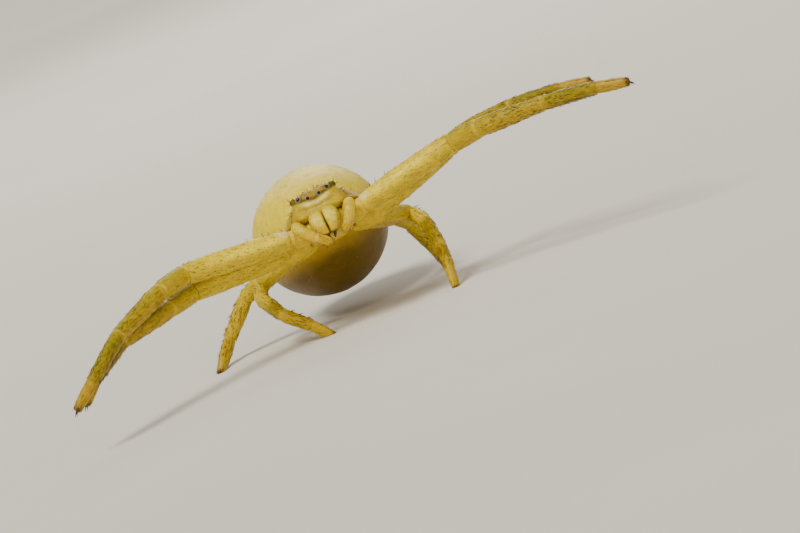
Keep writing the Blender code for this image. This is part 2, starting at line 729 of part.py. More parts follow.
def build():
    clear_scene()
    parts = new_collection("crab_spider")
    root = bpy.data.objects.new("spider", None)
    body = bpy.data.objects.new("body", None)
    body.parent = root
    for empty in (root, body):
        bpy.context.scene.collection.objects.link(empty)
    body.location = Vector(BODY_CENTRE) * MM
    body.rotation_euler = (math.radians(-NOSE_UP), math.radians(-LEFT_SIDE_UP), 0)
    bpy.context.view_layer.update()

    head = build_head(parts, body)
    seats = build_eyes(parts, body)
    seats += build_jaws(parts, body)
    build_mouthparts(parts, body)
    build_palps(parts, body)
    for pair in (1, 2, 3, 4):
        for side_name in ("left", "right"):
            seats.append(build_leg(side_name, pair, body, parts, root))
    combine(head, seats, "DIFFERENCE")
    abdomen = build_abdomen(parts, body, root)
    build_spinnerets(parts, abdomen)
    centre_over_origin(parts, root)


build()
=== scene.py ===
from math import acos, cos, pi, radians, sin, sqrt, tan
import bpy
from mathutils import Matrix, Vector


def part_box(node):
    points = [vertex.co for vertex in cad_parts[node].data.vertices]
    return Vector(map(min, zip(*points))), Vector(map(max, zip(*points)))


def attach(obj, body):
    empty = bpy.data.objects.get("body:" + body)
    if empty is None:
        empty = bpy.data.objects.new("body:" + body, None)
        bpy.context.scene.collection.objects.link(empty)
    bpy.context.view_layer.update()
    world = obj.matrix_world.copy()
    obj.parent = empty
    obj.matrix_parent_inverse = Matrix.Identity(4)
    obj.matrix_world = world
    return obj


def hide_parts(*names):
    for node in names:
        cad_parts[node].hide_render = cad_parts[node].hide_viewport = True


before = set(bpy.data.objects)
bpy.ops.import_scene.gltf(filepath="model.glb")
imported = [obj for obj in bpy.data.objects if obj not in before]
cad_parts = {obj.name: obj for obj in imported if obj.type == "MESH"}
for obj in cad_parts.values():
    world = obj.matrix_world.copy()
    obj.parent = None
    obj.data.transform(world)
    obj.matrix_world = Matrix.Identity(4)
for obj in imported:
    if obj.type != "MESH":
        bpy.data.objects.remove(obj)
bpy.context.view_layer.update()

# Crab spider at life size: skins, eyes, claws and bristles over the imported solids.
# Shapes are worked out in millimetres, with the head at -Y and the spider's own left at +X.
from types import SimpleNamespace

import bmesh
import bpy
import numpy as np
from mathutils import Euler, Matrix, Vector, noise
from mathutils.bvhtree import BVHTree

mm = 0.001
rng = np.random.default_rng(11)
sideOf = {"left": 1, "right": -1}

# How the front of the body is held, as in the solids
stance = {"bodyCentre": (0.05, 1.32, 3.87), "noseUp": 9.0, "leftSideUp": 4.0}

# Eyes of the left side: place, radius, where each looks, and the cosine of the angle from its axis at which
# its black cup ends
eyes = {
    "anterior_median": ((0.195, -1.475, 0.485), 0.082, (0.16, -1.0, 0.16), 0.62),
    "anterior_lateral": ((0.49, -1.385, 0.55), 0.10, (0.26, -1.0, 0.20), 0.58),
    "posterior_median": ((0.26, -1.03, 0.69), 0.07, (0.25, -0.60, 1.0), 0.40),
    "posterior_lateral": ((0.71, -1.10, 0.575), 0.072, (0.9, -0.85, 0.25), 0.20),
}


def turnMatrix(*degrees):
    return np.array(Euler([radians(a) for a in degrees]).to_matrix())


bodyTurn = turnMatrix(-stance["noseUp"], -stance["leftSideUp"], 0)


def fromBody(points):
    # Points of the body's own frame, in the spider's frame
    return np.asarray(points) @ bodyTurn.T + stance["bodyCentre"]


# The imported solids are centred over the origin, so one eye gives the shift from the spider's frame
eyeLow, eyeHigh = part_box("eye_anterior_lateral_left")
shift = (np.array(eyeLow) + np.array(eyeHigh)) / 2 / mm - fromBody(eyes["anterior_lateral"][0])
shift[2] = 0.0
print("frame loaded, shift in mm", np.round(shift, 3))


def smoothStep(low, high, value):
    # Rises smoothly from 0 at low to 1 at high, which may be the smaller of the two
    t = np.clip((value - low) / (high - low), 0.0, 1.0)
    return t * t * (3 - 2 * t)


def fade(low, high, value):
    return 1 - smoothStep(low, high, value)


def bell(value, middle, width):
    return np.exp(-((value - middle) / width) ** 2)


def unit(vectors):
    vectors = np.asarray(vectors, float)
    return vectors / np.maximum(np.linalg.norm(vectors, axis=-1, keepdims=True), 1e-12)


def across(vectors, normals):
    # The parts of vectors that lie along a surface with these normals
    return unit(vectors - normals * np.sum(vectors * normals, -1, keepdims=True))


def onSide(place, side):
    return np.array(place) * (side, 1, 1)


def angles(count, start=0.0):
    return np.arange(count) * 2 * pi / count + start


def linearColour(code):
    # sRGB hex to linear red, green, blue
    parts = np.array([int(code[k:k + 2], 16) / 255 for k in (1, 3, 5)])
    return np.where(parts <= 0.04045, parts / 12.92, ((parts + 0.055) / 1.055) ** 2.4)


def tinted(count, base, layers=()):
    # A colour for each vertex: a base, and colours laid over it, each by an amount for each vertex
    tint = np.tile(linearColour(base), (count, 1))
    for code, amount in layers:
        amount = np.clip(amount, 0, 1)[:, None]
        tint = tint * (1 - amount) + linearColour(code) * amount
    return tint


def bands(value, rows):
    # Layers for tinted that come in along a value: colour, where it starts, where it is full, and its amount
    return [(code, smoothStep(low, high, value) * amount) for code, low, high, amount in rows]


def softNoise(points, scale, seed=0.0):
    offset = Vector((seed, 2 * seed, -seed))
    return np.array([noise.noise(Vector(p) * scale + offset) for p in points])


def smoothAlong(values, window):
    kernel = np.hanning(window + 2)[1:-1]
    padded = np.pad(values, window // 2, mode="edge")
    return np.convolve(padded, kernel / kernel.sum(), mode="valid")


def curveThrough(rows, count):
    # Rows of numbers, run smoothly through as a Catmull-Rom curve with the given count of steps
    rows = np.array(rows, float)
    padded = np.vstack([2 * rows[0] - rows[1], rows, 2 * rows[-1] - rows[-2]])
    places = np.linspace(0, len(rows) - 1, count)
    k = np.minimum(places.astype(int), len(rows) - 2)
    t = (places - k)[:, None]
    a, b, c, d = (padded[k + step] for step in range(4))
    square, cube = 2 * a - 5 * b + 4 * c - d, 3 * b - a - 3 * c + d
    return 0.5 * (2 * b + (c - a) * t + square * t ** 2 + cube * t ** 3)


def tubeFaces(rings, sides):
    # Quads round a tube, fans on its two ends, and a flat unwrap of it for each corner
    faces, corners = [], []
    for i in range(rings - 1):
        low, high = i / (rings - 1), (i + 1) / (rings - 1)
        for k in range(sides):
            a, b = i * sides + k, i * sides + (k + 1) % sides
            faces.append((a, b, b + sides, a + sides))
            corners += [(k / sides, low), ((k + 1) / sides, low), ((k + 1) / sides, high), (k / sides, high)]
    last = (rings - 1) * sides
    for k in range(sides):
        after = (k + 1) % sides
        faces += [(rings * sides, after, k), (rings * sides + 1, last + k, last + after)]
        u, middle, v = k / sides, (k + 0.5) / sides, (k + 1) / sides
        corners += [(middle, 0.0), (v, 0.0), (u, 0.0), (middle, 1.0), (u, 1.0), (v, 1.0)]
    return faces, corners


def closedTube(rings):
    # Rings x sides x 3 to points, with the two end centres last, faces and the corners' unwrap
    points = np.vstack([rings.reshape(-1, 3), rings[0].mean(0), rings[-1].mean(0)])
    return points, *tubeFaces(*rings.shape[:2])


def joined(shells):
    # The points and faces of several shells as one
    points, faces = [], []
    for shell in shells:
        faces += [tuple(v + len(points) for v in face) for face in shell[1]]
        points += shell[0].tolist()
    return np.array(points), faces


def plainMesh(name, points, faces):
    mesh = bpy.data.meshes.new(name)
    mesh.from_pydata(np.asarray(points).tolist(), [], faces)
    mesh.update()
    return mesh


def makeObject(name, data):
    made = bpy.data.objects.new(name, data)
    bpy.context.scene.collection.objects.link(made)
    return made


def setAttribute(mesh, name, values):
    # A number, vector or colour for each vertex
    values = np.asarray(values, np.float32)
    kinds = {1: ("FLOAT", "value"), 3: ("FLOAT_VECTOR", "vector"), 4: ("FLOAT_COLOR", "color")}
    kind, field = kinds[values.size // len(values)]
    mesh.attributes.new(name, kind, "POINT").data.foreach_set(field, values.ravel())


def facingOut(mesh):
    # True normals of a closed mesh, pointing outwards
    work = bmesh.new()
    work.from_mesh(mesh)
    bmesh.ops.recalc_face_normals(work, faces=work.faces)
    work.to_mesh(mesh)
    work.free()


def skinPiece(name, points, faces, tint, material, nodes, corners=None):
    # A finished skin in metres, with its colours, that stands for the given solids
    mesh = plainMesh(name, (points + shift) * mm, faces)
    setAttribute(mesh, "skinTint", np.hstack([tint, np.ones((len(tint), 1))]))
    if corners is not None:
        mesh.uv_layers.new(name="unwrap").uv.foreach_set("vector", np.ravel(corners).astype(np.float32))
    facingOut(mesh)
    mesh.shade_smooth()
    mesh.materials.append(material)
    made = makeObject(name, mesh)
    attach(made, "root")
    if nodes:
        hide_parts(*nodes)


def evaluated(made, name):
    # The result of an object's modifiers as a plain mesh; the object itself goes away
    bpy.context.view_layer.update()
    graph = bpy.context.evaluated_depsgraph_get()
    result = bpy.data.meshes.new_from_object(made.evaluated_get(graph))
    result.name = name
    old = made.data
    bpy.data.objects.remove(made, do_unlink=True)
    bpy.data.meshes.remove(old)
    return result


def mergedShell(shells, voxel, rounds):
    # Closed shells, in millimetres, run together into one smooth skin: points, faces and normals
    mesh = plainMesh("shell", *joined(shells))
    facingOut(mesh)
    made = makeObject("shell", mesh)
    remesh = made.modifiers.new("remesh", "REMESH")
    remesh.mode = "VOXEL"
    remesh.voxel_size = voxel
    relax = made.modifiers.new("relax", "SMOOTH")
    relax.factor = 0.5
    relax.iterations = rounds
    result = evaluated(made, "merged")
    points, normals = np.zeros((2, len(result.vertices) * 3))
    result.vertices.foreach_get("co", points)
    result.vertices.foreach_get("normal", normals)
    faces = [tuple(face.vertices) for face in result.polygons]
    bpy.data.meshes.remove(result)
    return points.reshape(-1, 3), faces, normals.reshape(-1, 3)


def ball(centre, radius, stretch=(1, 1, 1), rounds=24, rings=16):
    # Points and faces of a closed ball
    lift = np.linspace(-pi / 2, pi / 2, rings + 1)[1:-1]
    turn = angles(rounds)
    x, y = np.cos(lift)[:, None] * np.cos(turn), np.cos(lift)[:, None] * np.sin(turn)
    grid = np.stack([x, y, np.repeat(np.sin(lift)[:, None], rounds, 1)], -1)
    points = np.vstack([grid.reshape(-1, 3), (0, 0, -1), (0, 0, 1)]) * radius * np.array(stretch)
    return points + centre, tubeFaces(rings - 1, rounds)[0]


def ringsAlong(axis, widths, heights, sides, up=(0.0, 0.0, 1.0)):
    # Rings across a curve; the first side point lies underneath, and the count goes round from there
    tangents = unit(np.gradient(axis, axis=0))
    up = across(np.tile(up, (len(axis), 1)), tangents)
    right = np.cross(tangents, up)
    angle = angles(sides, -pi / 2)
    points = axis[:, None] + right[:, None] * (np.cos(angle) * widths[:, None])[..., None]
    points = points + up[:, None] * (np.sin(angle) * heights[:, None])[..., None]
    return points, tangents, right, up


def setInputs(tree, node, inputs):
    # Sets a node's inputs, or links those whose value is the output of another node
    for key, value in inputs.items():
        if isinstance(value, bpy.types.NodeSocket):
            tree.links.new(value, node.inputs[key])
        else:
            node.inputs[key].default_value = value


def addNode(tree, kind, inputs=None, settings=None):
    # Adds one node with its settings and inputs, and gives its outputs
    node = tree.nodes.new(kind)
    for key, value in (settings or {}).items():
        setattr(node, key, value)
    setInputs(tree, node, inputs or {})
    return node.outputs


def maths(tree, operation, a, b):
    return addNode(tree, "ShaderNodeMath", {0: a, 1: b}, {"operation": operation})[0]


def vectorMaths(tree, operation, a, b):
    second = "Scale" if operation == "SCALE" else 1
    return addNode(tree, "ShaderNodeVectorMath", {0: a, second: b}, {"operation": operation})[0]


def remap(tree, value, low, high, toLow, toHigh):
    return addNode(tree, "ShaderNodeMapRange", {"Value": value, "From Min": low, "From Max": high,
                                                "To Min": toLow, "To Max": toHigh})[0]


def attribute(tree, name):
    return addNode(tree, "ShaderNodeAttribute", None, {"attribute_name": name})


def placeInMm(tree):
    place = addNode(tree, "ShaderNodeTexCoord")["Object"]
    return addNode(tree, "ShaderNodeMapping", {"Vector": place, "Scale": (1 / mm,) * 3})[0]


def cloudNoise(tree, place, scale, detail, roughness=0.5):
    return addNode(tree, "ShaderNodeTexNoise", {"Vector": place, "Scale": scale, "Detail": detail,
                                                "Roughness": roughness})["Fac"]


def cellNoise(tree, place, size, feature="F1"):
    return addNode(tree, "ShaderNodeTexVoronoi", {"Vector": place, "Scale": 1 / size},
                   {"feature": feature})["Distance"]


def bump(tree, height, strength, depth):
    inputs = {"Height": height, "Strength": strength, "Distance": depth * mm}
    return addNode(tree, "ShaderNodeBump", inputs)[0]


def colourRamp(tree, factor, *stops):
    # Two colours by a factor, each stop a place and an sRGB hex colour
    node = tree.nodes.new("ShaderNodeValToRGB")
    tree.links.new(factor, node.inputs["Fac"])
    for element, (place, code) in zip(node.color_ramp.elements, stops):
        element.position = place
        element.color = (*linearColour(code), 1.0)
    return node.outputs["Color"]


def newMaterial(name):
    material = bpy.data.materials.new(name)
    material.use_nodes = True
    return material, material.node_tree


def surfaced(material, inputs):
    # The material, with these inputs of its Principled surface
    tree = material.node_tree
    setInputs(tree, tree.nodes["Principled BSDF"], inputs)
    return material


def cuticle(name, roughness, mottle, mottleSize, speck, speckSize, poreSize, glow):
    # Waxy spider cuticle over pale flesh: light goes a little way in, so thin parts glow, and the wax gives a
    # soft broad highlight. Sizes are the real ones in millimetres.
    material, tree = newMaterial(name)
    place = placeInMm(tree)
    cloud = cloudNoise(tree, place, 1 / mottleSize, 4.0, 0.6)
    shade = remap(tree, cloud, 0.3, 0.7, 1.0 - mottle, 1.0 + mottle * 0.6)
    toned = vectorMaths(tree, "SCALE", attribute(tree, "skinTint")["Color"], shade)
    dots = remap(tree, cellNoise(tree, place, speckSize), 0.12, 0.24, speck, 0.0)
    speckled = addNode(tree, "ShaderNodeMix", {"Factor": dots, 6: toned, 7: (*linearColour("#5e4108"), 1.0)},
                       {"data_type": "RGBA"})[2]
    grain = cloudNoise(tree, place, 0.4 / poreSize, 5.0)
    relief = maths(tree, "ADD", cellNoise(tree, place, poreSize, "SMOOTH_F1"), grain)
    return surfaced(material, {
        "Base Color": speckled,
        "Normal": bump(tree, relief, 0.35, 0.012),
        "Roughness": remap(tree, grain, 0.3, 0.7, roughness - 0.07, roughness + 0.09),
        "Subsurface Weight": glow,
        "Subsurface Radius": (1.0, 0.84, 0.2),
        "Subsurface Scale": 0.16 * mm,
        "IOR": 1.45,
        "Specular IOR Level": 0.28,
    })


def darkChitin(name, deep, warm, roughness):
    # Hard tanned chitin of fangs and claws: nearly black brown, redder where it is thin, polished smooth
    material, tree = newMaterial(name)
    streak = cloudNoise(tree, placeInMm(tree), 9.0, 3.0)
    return surfaced(material, {"Base Color": colourRamp(tree, streak, (0.3, deep), (0.7, warm)),
                               "Normal": bump(tree, streak, 0.2, 0.008), "Roughness": roughness, "IOR": 1.55})


def bristleFinish(name, root, tip, roughness):
    # Hollow chitin hairs: dark and a little shiny at the root, thinner and clearer towards the tip
    material, tree = newMaterial(name)
    along = attribute(tree, "alongHair")["Fac"]
    return surfaced(material, {"Base Color": colourRamp(tree, along, (0.15, root), (1.0, tip)),
                               "Roughness": roughness, "IOR": 1.54})


def lensFinish(name):
    # Cornea of a spider's simple eye: a clear polished lens over a black cup, with a pale ring of pigment
    material, tree = newMaterial(name)
    return surfaced(material, {"Base Color": attribute(tree, "skinTint")["Color"], "Roughness": 0.14,
                               "IOR": 1.5, "Specular IOR Level": 0.30})


# Roughness, mottling and its size, specks and their size, size of the pores, glow
carapaceCuticle = cuticle("waxy_carapace_cuticle", 0.40, 0.26, 0.13, 0.45, 0.09, 0.030, 0.25)
legCuticle = cuticle("waxy_leg_cuticle", 0.38, 0.20, 0.22, 0.75, 0.09, 0.026, 0.25)
jawCuticle = cuticle("thin_jaw_cuticle", 0.36, 0.22, 0.09, 0.45, 0.07, 0.028, 0.30)
abdomenCuticle = cuticle("stretched_abdomen_cuticle", 0.42, 0.15, 0.26, 0.16, 0.16, 0.05, 0.30)
fangChitin = darkChitin("tanned_fang_chitin", "#22100a", "#4a2410", 0.22)
clawChitin = darkChitin("tanned_claw_chitin", "#1a0f08", "#46280f", 0.28)
darkBristle = bristleFinish("dark_bristle_chitin", "#241606", "#3e2a0c", 0.40)
brownBristle = bristleFinish("brown_hair_chitin", "#5a4008", "#8a6a18", 0.40)
paleBristle = bristleFinish("pale_hair_chitin", "#b8952c", "#e6cc70", 0.42)
eyeLens = lensFinish("polished_eye_lens")
print("materials made")

# What a coat of bristles has where its own dictionary doesn't say otherwise: lengths in mm, the tip as a part
# of the thickness, and for scattered coats the bristles for each square mm and how far they stand up
bristleSizes = {
    "Length": 0.15, "Thickness": 0.02, "Tip": 0.2, "Bend": 0.3, "Variation": 0.3, "Sides": 3, "Segments": 3,
    "Seed": 1, "Density": 20.0, "Lift": 0.5,
}


def bristleTree(scatter):
    # Bends a tapered hair and sets it on points that carry an aim, or scatters it over a skin by its density
    tree = bpy.data.node_groups.new("scatterBristles" if scatter else "plantBristles", "GeometryNodeTree")

    def node(*given):
        return addNode(tree, *given)

    def named(name, kind="FLOAT_VECTOR"):
        return node("GeometryNodeInputNamedAttribute", {"Name": name}, {"data_type": kind})["Attribute"]

    def stored(geometry, name, value, kind, domain):
        return node("GeometryNodeStoreNamedAttribute", {"Geometry": geometry, "Name": name, "Value": value},
                    {"data_type": kind, "domain": domain})[0]

    def socket(name, kind, way="INPUT"):
        return tree.interface.new_socket(name, in_out=way, socket_type="NodeSocket" + kind)

    socket("Geometry", "Geometry")
    for name, value in bristleSizes.items():
        if scatter or name not in ("Density", "Lift"):
            socket(name, "Int" if isinstance(value, int) else "Float").default_value = value
    socket("Material", "Material")
    socket("Geometry", "Geometry", "OUTPUT")
    source = node("NodeGroupInput")
    points, seed, spread = source["Geometry"], source["Seed"], source["Variation"]

    width = maths(tree, "MULTIPLY", source["Thickness"], 0.5)
    cone = node("GeometryNodeMeshCone", {
        "Vertices": source["Sides"], "Side Segments": source["Segments"], "Depth": source["Length"],
        "Radius Top": maths(tree, "MULTIPLY", width, source["Tip"]), "Radius Bottom": width})
    hair = stored(cone["Mesh"], "hairUnwrap", cone["UV Map"], "FLOAT2", "CORNER")
    rise = node("ShaderNodeSeparateXYZ", {0: node("GeometryNodeInputPosition")[0]})["Z"]
    along = maths(tree, "DIVIDE", rise, source["Length"])
    hair = stored(hair, "alongHair", along, "FLOAT", "POINT")
    sweep = maths(tree, "MULTIPLY", maths(tree, "MULTIPLY", rise, along), source["Bend"])
    sweep = node("ShaderNodeCombineXYZ", {"X": sweep})[0]
    hair = node("GeometryNodeSetPosition", {"Geometry": hair, "Offset": sweep})[0]

    if scatter:
        density = maths(tree, "MULTIPLY", named("coatDensity", "FLOAT"), source["Density"])
        spots = node("GeometryNodeDistributePointsOnFaces",
                     {"Mesh": points, "Density": density, "Seed": seed}, {"distribute_method": "RANDOM"})
        points, lie, normal, size = spots["Points"], named("lie"), spots["Normal"], 1.0
        aim = vectorMaths(tree, "ADD", lie, vectorMaths(tree, "SCALE", normal, source["Lift"]))
        curl = vectorMaths(tree, "SUBTRACT", lie, normal)
    else:
        aim, curl, size = named("aim"), named("curl"), named("size", "FLOAT")
    turn = node("FunctionNodeAlignRotationToVector", {"Vector": aim}, {"axis": "Z"})[0]
    turn = node("FunctionNodeAlignRotationToVector", {"Rotation": turn, "Vector": curl},
                {"axis": "X", "pivot_axis": "Z"})[0]
    chance = node("FunctionNodeRandomValue", {2: maths(tree, "SUBTRACT", 1.0, spread),
                                              3: maths(tree, "ADD", 1.0, spread), "Seed": seed},
                  {"data_type": "FLOAT"})[1]
    coat = node("GeometryNodeInstanceOnPoints", {"Points": points, "Instance": hair, "Rotation": turn,
                                                 "Scale": maths(tree, "MULTIPLY", chance, size)})[0]
    coat = node("GeometryNodeRealizeInstances", {"Geometry": coat})[0]

    # Each hair's own small patch of the map, beside its root's place on the skin's unwrap
    patch = vectorMaths(tree, "SCALE", named("hairUnwrap"), 0.003)
    patch = vectorMaths(tree, "ADD", patch, named("rootPlace"))
    coat = stored(coat, "OFBake", patch, "FLOAT2", "CORNER")
    for word in ("hairUnwrap", "rootPlace", "aim", "curl", "size", "lie", "coatDensity"):
        coat = node("GeometryNodeRemoveAttribute", {"Geometry": coat, "Name": word})[0]
    coat = node("GeometryNodeSetShadeSmooth", {"Geometry": coat})[0]
    coat = node("GeometryNodeSetMaterial", {"Geometry": coat, "Material": source["Material"]})[0]
    node("NodeGroupOutput", {0: coat})
    return tree


plantTree = bristleTree(False)
scatterTree = bristleTree(True)


def growBristles(name, points, faces, fields, unwrapped, tree, sizes, material):
    # Runs a bristle tree on a skin or roots in millimetres and keeps the result as a plain mesh in metres
    mesh = plainMesh(name + "_roots", points, faces)
    if faces:
        facingOut(mesh)
    for field, values in fields.items():
        setAttribute(mesh, field, values)
    setAttribute(mesh, "rootPlace", np.hstack([unwrapped, np.zeros((len(points), 1))]))
    made = makeObject(name + "_roots", mesh)
    modifier = made.modifiers.new("bristles", "NODES")
    modifier.node_group = tree
    given = {**bristleSizes, **sizes, "Material": material}
    for socket in tree.interface.items_tree:
        if socket.in_out == "INPUT" and socket.name in given:
            modifier[socket.identifier] = given[socket.name]
    coat = makeObject(name, evaluated(made, name))
    coat.data.transform(Matrix.Translation(Vector(shift * mm)) @ Matrix.Scale(mm, 4))
    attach(coat, "root")
    print(name, len(coat.data.polygons), "faces")


def plantedCoat(name, roots, sizes, material):
    # roots: place, aim, curl, size and place on the skin's unwrap, one row for each hair
    place, aim, curl, size, unwrapped = (np.array(column, float) for column in zip(*roots))
    fields = {"aim": unit(aim), "curl": unit(curl), "size": size}
    growBristles(name, place, [], fields, unwrapped, plantTree, sizes, material)


def scatteredCoat(name, points, faces, density, lie, unwrapped, sizes, material):
    # Hairs over a skin, as dense as its density says and lying along lie
    fields = {"coatDensity": density, "lie": lie}
    growBristles(name, points, faces, fields, unwrapped, scatterTree, sizes, material)


def roundUnwrap(points, centre=(0, 0, 0)):
    # Each point's turn and lift round a centre, as a map from 0 to 1
    out = unit(points - np.asarray(centre))
    turn = np.arctan2(out[:, 0], -out[:, 1]) / (2 * pi) + 0.5
    lift = np.arcsin(np.clip(out[:, 2], -1, 1)) / pi + 0.5
    return np.stack([turn, lift], 1)


# Head and chest: place along Y, half width, half width of the flat top, top, rim, fullness
carapaceStations = (
    (-1.52, 0.42, 0.34, 0.40, 0.10, 3.0),
    (-1.47, 0.74, 0.56, 0.60, 0.03, 3.4),
    (-1.36, 0.90, 0.67, 0.67, -0.02, 3.6),
    (-1.15, 1.08, 0.72, 0.71, -0.07, 3.6),
    (-0.85, 1.26, 0.73, 0.73, -0.13, 3.2),
    (-0.45, 1.46, 0.74, 0.73, -0.23, 3.0),
    (0.00, 1.57, 0.74, 0.71, -0.31, 2.8),
    (0.50, 1.60, 0.72, 0.65, -0.35, 2.7),
    (0.95, 1.47, 0.66, 0.50, -0.37, 2.6),
    (1.30, 1.16, 0.55, 0.25, -0.37, 2.5),
    (1.52, 0.78, 0.40, 0.00, -0.37, 2.4),
    (1.62, 0.40, 0.25, -0.18, -0.38, 2.4),
)
rimDrop = 0.14
# Place along Y, half width, bottom
sternumStations = (
    (-1.00, 0.36, -0.86),
    (-0.70, 0.62, -0.96),
    (-0.20, 0.78, -1.02),
    (0.35, 0.76, -1.03),
    (0.85, 0.54, -1.00),
    (1.25, 0.24, -0.90),
)
sternumTop = -0.30
headLook = {
    "voxel": 0.03,
    "tubercles": (((0.49, -1.30, 0.52), 0.15), ((0.66, -1.12, 0.55), 0.145)),
    "eyeCollar": 0.028,         # how far the rim round each eye stands up
    "furrowDepth": 0.030,
    "furrowWidth": 0.07,
    "furrows": (                # the groove in the middle of the back, and those that run out from it
        ((0, 0.25, 0.68), (0, 0.75, 0.55)), ((0.05, 0.2, 0.7), (0.78, -0.75, 0.68)),
        ((0.1, 0.35, 0.68), (1.25, -0.25, 0.2)), ((0.1, 0.45, 0.65), (1.35, 0.45, 0.15)),
        ((0.1, 0.55, 0.6), (1.0, 1.1, 0.2)),
    ),
    "rimBead": 0.018,
    "rimGroove": 0.030,
    "jawFold": 0.022,           # soft fold over the jaws
    "browSwell": 0.020,         # swelling under the eyes, and the crease below it
    "browCrease": 0.014,
    # ends of a line down the crest from face to side, painted darker as shade where the surface turns away
    "crestShadeLine": ((0.83, -1.12, 0.50), (1.02, -1.20, 0.05)),
    "cheek": "#c4a812",
    "side": "#b09200",
    "back": "#c8ac0c",
    "backMiddle": "#f1df4a",
    "furrow": "#8d7222",
    "eyeBand": "#6c5e00",
    # dark edge of the eye band, also used for the painted shade line along the crest
    "eyeBandEdgeAndCrestShade": "#463604",
    "forehead": "#a88600",
    "brow": "#f6e376",
    "blotch": "#a08208",
    # painted shade: a darker line along the lip, under the fold over the jaws, where the overhang shades it
    "lip": "#8a6c04",
    "jawSide": "#d4bc22",
    "lilac": "#cfae94",
    "under": "#dfbc10",
}


def bent(values, power):
    # Values from -1 to 1 raised to a power with their signs kept, which squares a round section off
    return np.sign(values) * np.abs(values) ** power


def carapaceRings():
    rings = []
    angle = np.linspace(0, pi, 61)
    lower = np.linspace(-1, 1, 25)[1:-1]
    for y, half, topHalf, top, rim, fullness in curveThrough(carapaceStations, 90):
        height = np.abs(np.sin(angle)) ** (2 / fullness)
        x = (half + (topHalf - half) * height) * bent(np.cos(angle), 2 / fullness)
        x = np.concatenate([x, lower * half])
        z = np.concatenate([rim + (top - rim) * height, rim - rimDrop * (1 - np.abs(lower) ** 6)])
        rings.append(np.stack([x, np.full(len(x), y), z], 1))
    return np.array(rings)


def sternumRings():
    rings = []
    angle = angles(48)
    for y, half, bottom in curveThrough(sternumStations, 40):
        z = (bottom + sternumTop) / 2 + (sternumTop - bottom) / 2 * bent(np.sin(angle), 0.7)
        rings.append(np.stack([half * bent(np.cos(angle), 0.7), np.full(len(z), y), z], 1))
    return np.array(rings)


def nearLine(points, start, end):
    # Distance from each point to a straight line between two places
    start, end = np.array(start, float), np.array(end, float)
    t = np.clip((points - start) @ (end - start) / ((end - start) @ (end - start)), 0, 1)
    return np.linalg.norm(points - start - t[:, None] * (end - start), axis=1)


def buildHead():
    look = headLook
    shells = [closedTube(carapaceRings()), closedTube(sternumRings())]
    for place, radius in look["tubercles"]:
        shells += [ball(onSide(place, side), radius) for side in (1, -1)]
    points, faces, normals = mergedShell(shells, look["voxel"], 5)
    # One rule serves both sides, so x is the distance from the middle
    x, y, z = np.abs(points[:, 0]), points[:, 1], points[:, 2]
    half = np.stack([x, y, z], 1)
    push, ringAmount, furrows = np.zeros((3, len(points)))
    for place, radius in (eye[:2] for eye in eyes.values()):
        away = np.linalg.norm(half - place, axis=1)
        push += look["eyeCollar"] * fade(radius, radius + 0.07, away)
        ringAmount = np.maximum(ringAmount, fade(radius - 0.01, radius + 0.03, away))
    onTop = smoothStep(0.3, 0.7, normals[:, 2])
    for start, end in look["furrows"]:
        furrows = np.maximum(furrows, bell(nearLine(half, start, end), 0, look["furrowWidth"]))
    push -= look["furrowDepth"] * furrows * smoothStep(0.0, 0.5, normals[:, 2])
    # The rim of the carapace: a fine bead with a groove below it
    stations = np.array(carapaceStations)
    rim = np.interp(y, stations[:, 0], stations[:, 4])
    sides = smoothStep(0.3, 0.7, np.abs(normals[:, 0]))
    push += look["rimBead"] * bell(z - rim, 0.02, 0.035) * sides
    push -= look["rimGroove"] * bell(z - rim, -0.06, 0.03) * sides
    front = smoothStep(-1.0, -1.3, y)
    lipLine = -0.02 - 0.10 * smoothStep(0.25, 0.75, x)
    push += look["jawFold"] * bell(z - lipLine, 0.07, 0.05) * front
    push += look["browSwell"] * bell(z - 0.24, 0.19 * x, 0.07) * front * fade(0.4, 0.65, x)
    push -= look["browCrease"] * bell(z - 0.13, 0.10 * x, 0.035) * front
    push += 0.006 * softNoise(points, 3.0) + 0.004 * softNoise(points, 11.0, 5.0)
    points = points + normals * push[:, None]

    face = smoothStep(-0.95, -1.2, y)
    eyeLine = 0.455 + 0.19 * x
    band = smoothStep(eyeLine - 0.13, eyeLine - 0.07, z) * smoothStep(-0.90, -1.02, y)
    edge = nearLine(half, *look["crestShadeLine"])
    layers = (
        ("back", onTop * smoothStep(-1.1, -0.7, y)),
        ("backMiddle", onTop * fade(0.25, 0.6, x) * smoothStep(-1.0, -0.5, y)),
        ("furrow", furrows * onTop * 0.45),
        ("under", smoothStep(-0.45, -0.6, z)),
        ("cheek", face * fade(0.75, 0.95, x)),
        ("blotch", smoothStep(0.0, 0.35, softNoise(points, 4.5, 8.0)) * face * 0.35),
        # painted shade along the lip line, under the overhanging fold
        ("lip", bell(z, lipLine, 0.03) * face * 0.3),
        ("jawSide", smoothStep(0.16, -0.05, z) * smoothStep(0.85, 0.5, x) * face * 0.6),
        ("brow", bell(z - eyeLine, -0.195, 0.075) * face * fade(0.30, 0.62, x)),
        ("eyeBand", band * fade(0.86, 0.94, x)),
        ("forehead", band * fade(0.30, 0.42, x) * smoothStep(-0.02, 0.05, z - eyeLine)),
        ("eyeBandEdgeAndCrestShade", smoothStep(0.05, 0.3, softNoise(points, 9.0, 3.0)) * band * 0.45),
        ("eyeBandEdgeAndCrestShade", bell(x, 0.80, 0.075) * band * 0.9),
        # painted shade: a thin dark line along the crest where the face turns into the side
        ("eyeBandEdgeAndCrestShade", bell(edge, 0, 0.028) * 0.9),
        ("lilac", ringAmount * 0.25),
    )
    tint = tinted(len(points), look["side"], [(look[name], amount) for name, amount in layers])
    skinPiece("head_skin", fromBody(points), faces, tint, carapaceCuticle, ["cephalothorax"])
    return points, faces, normals


headPoints, headFaces, headNormals = buildHead()
print("head skin", len(headPoints), "points")


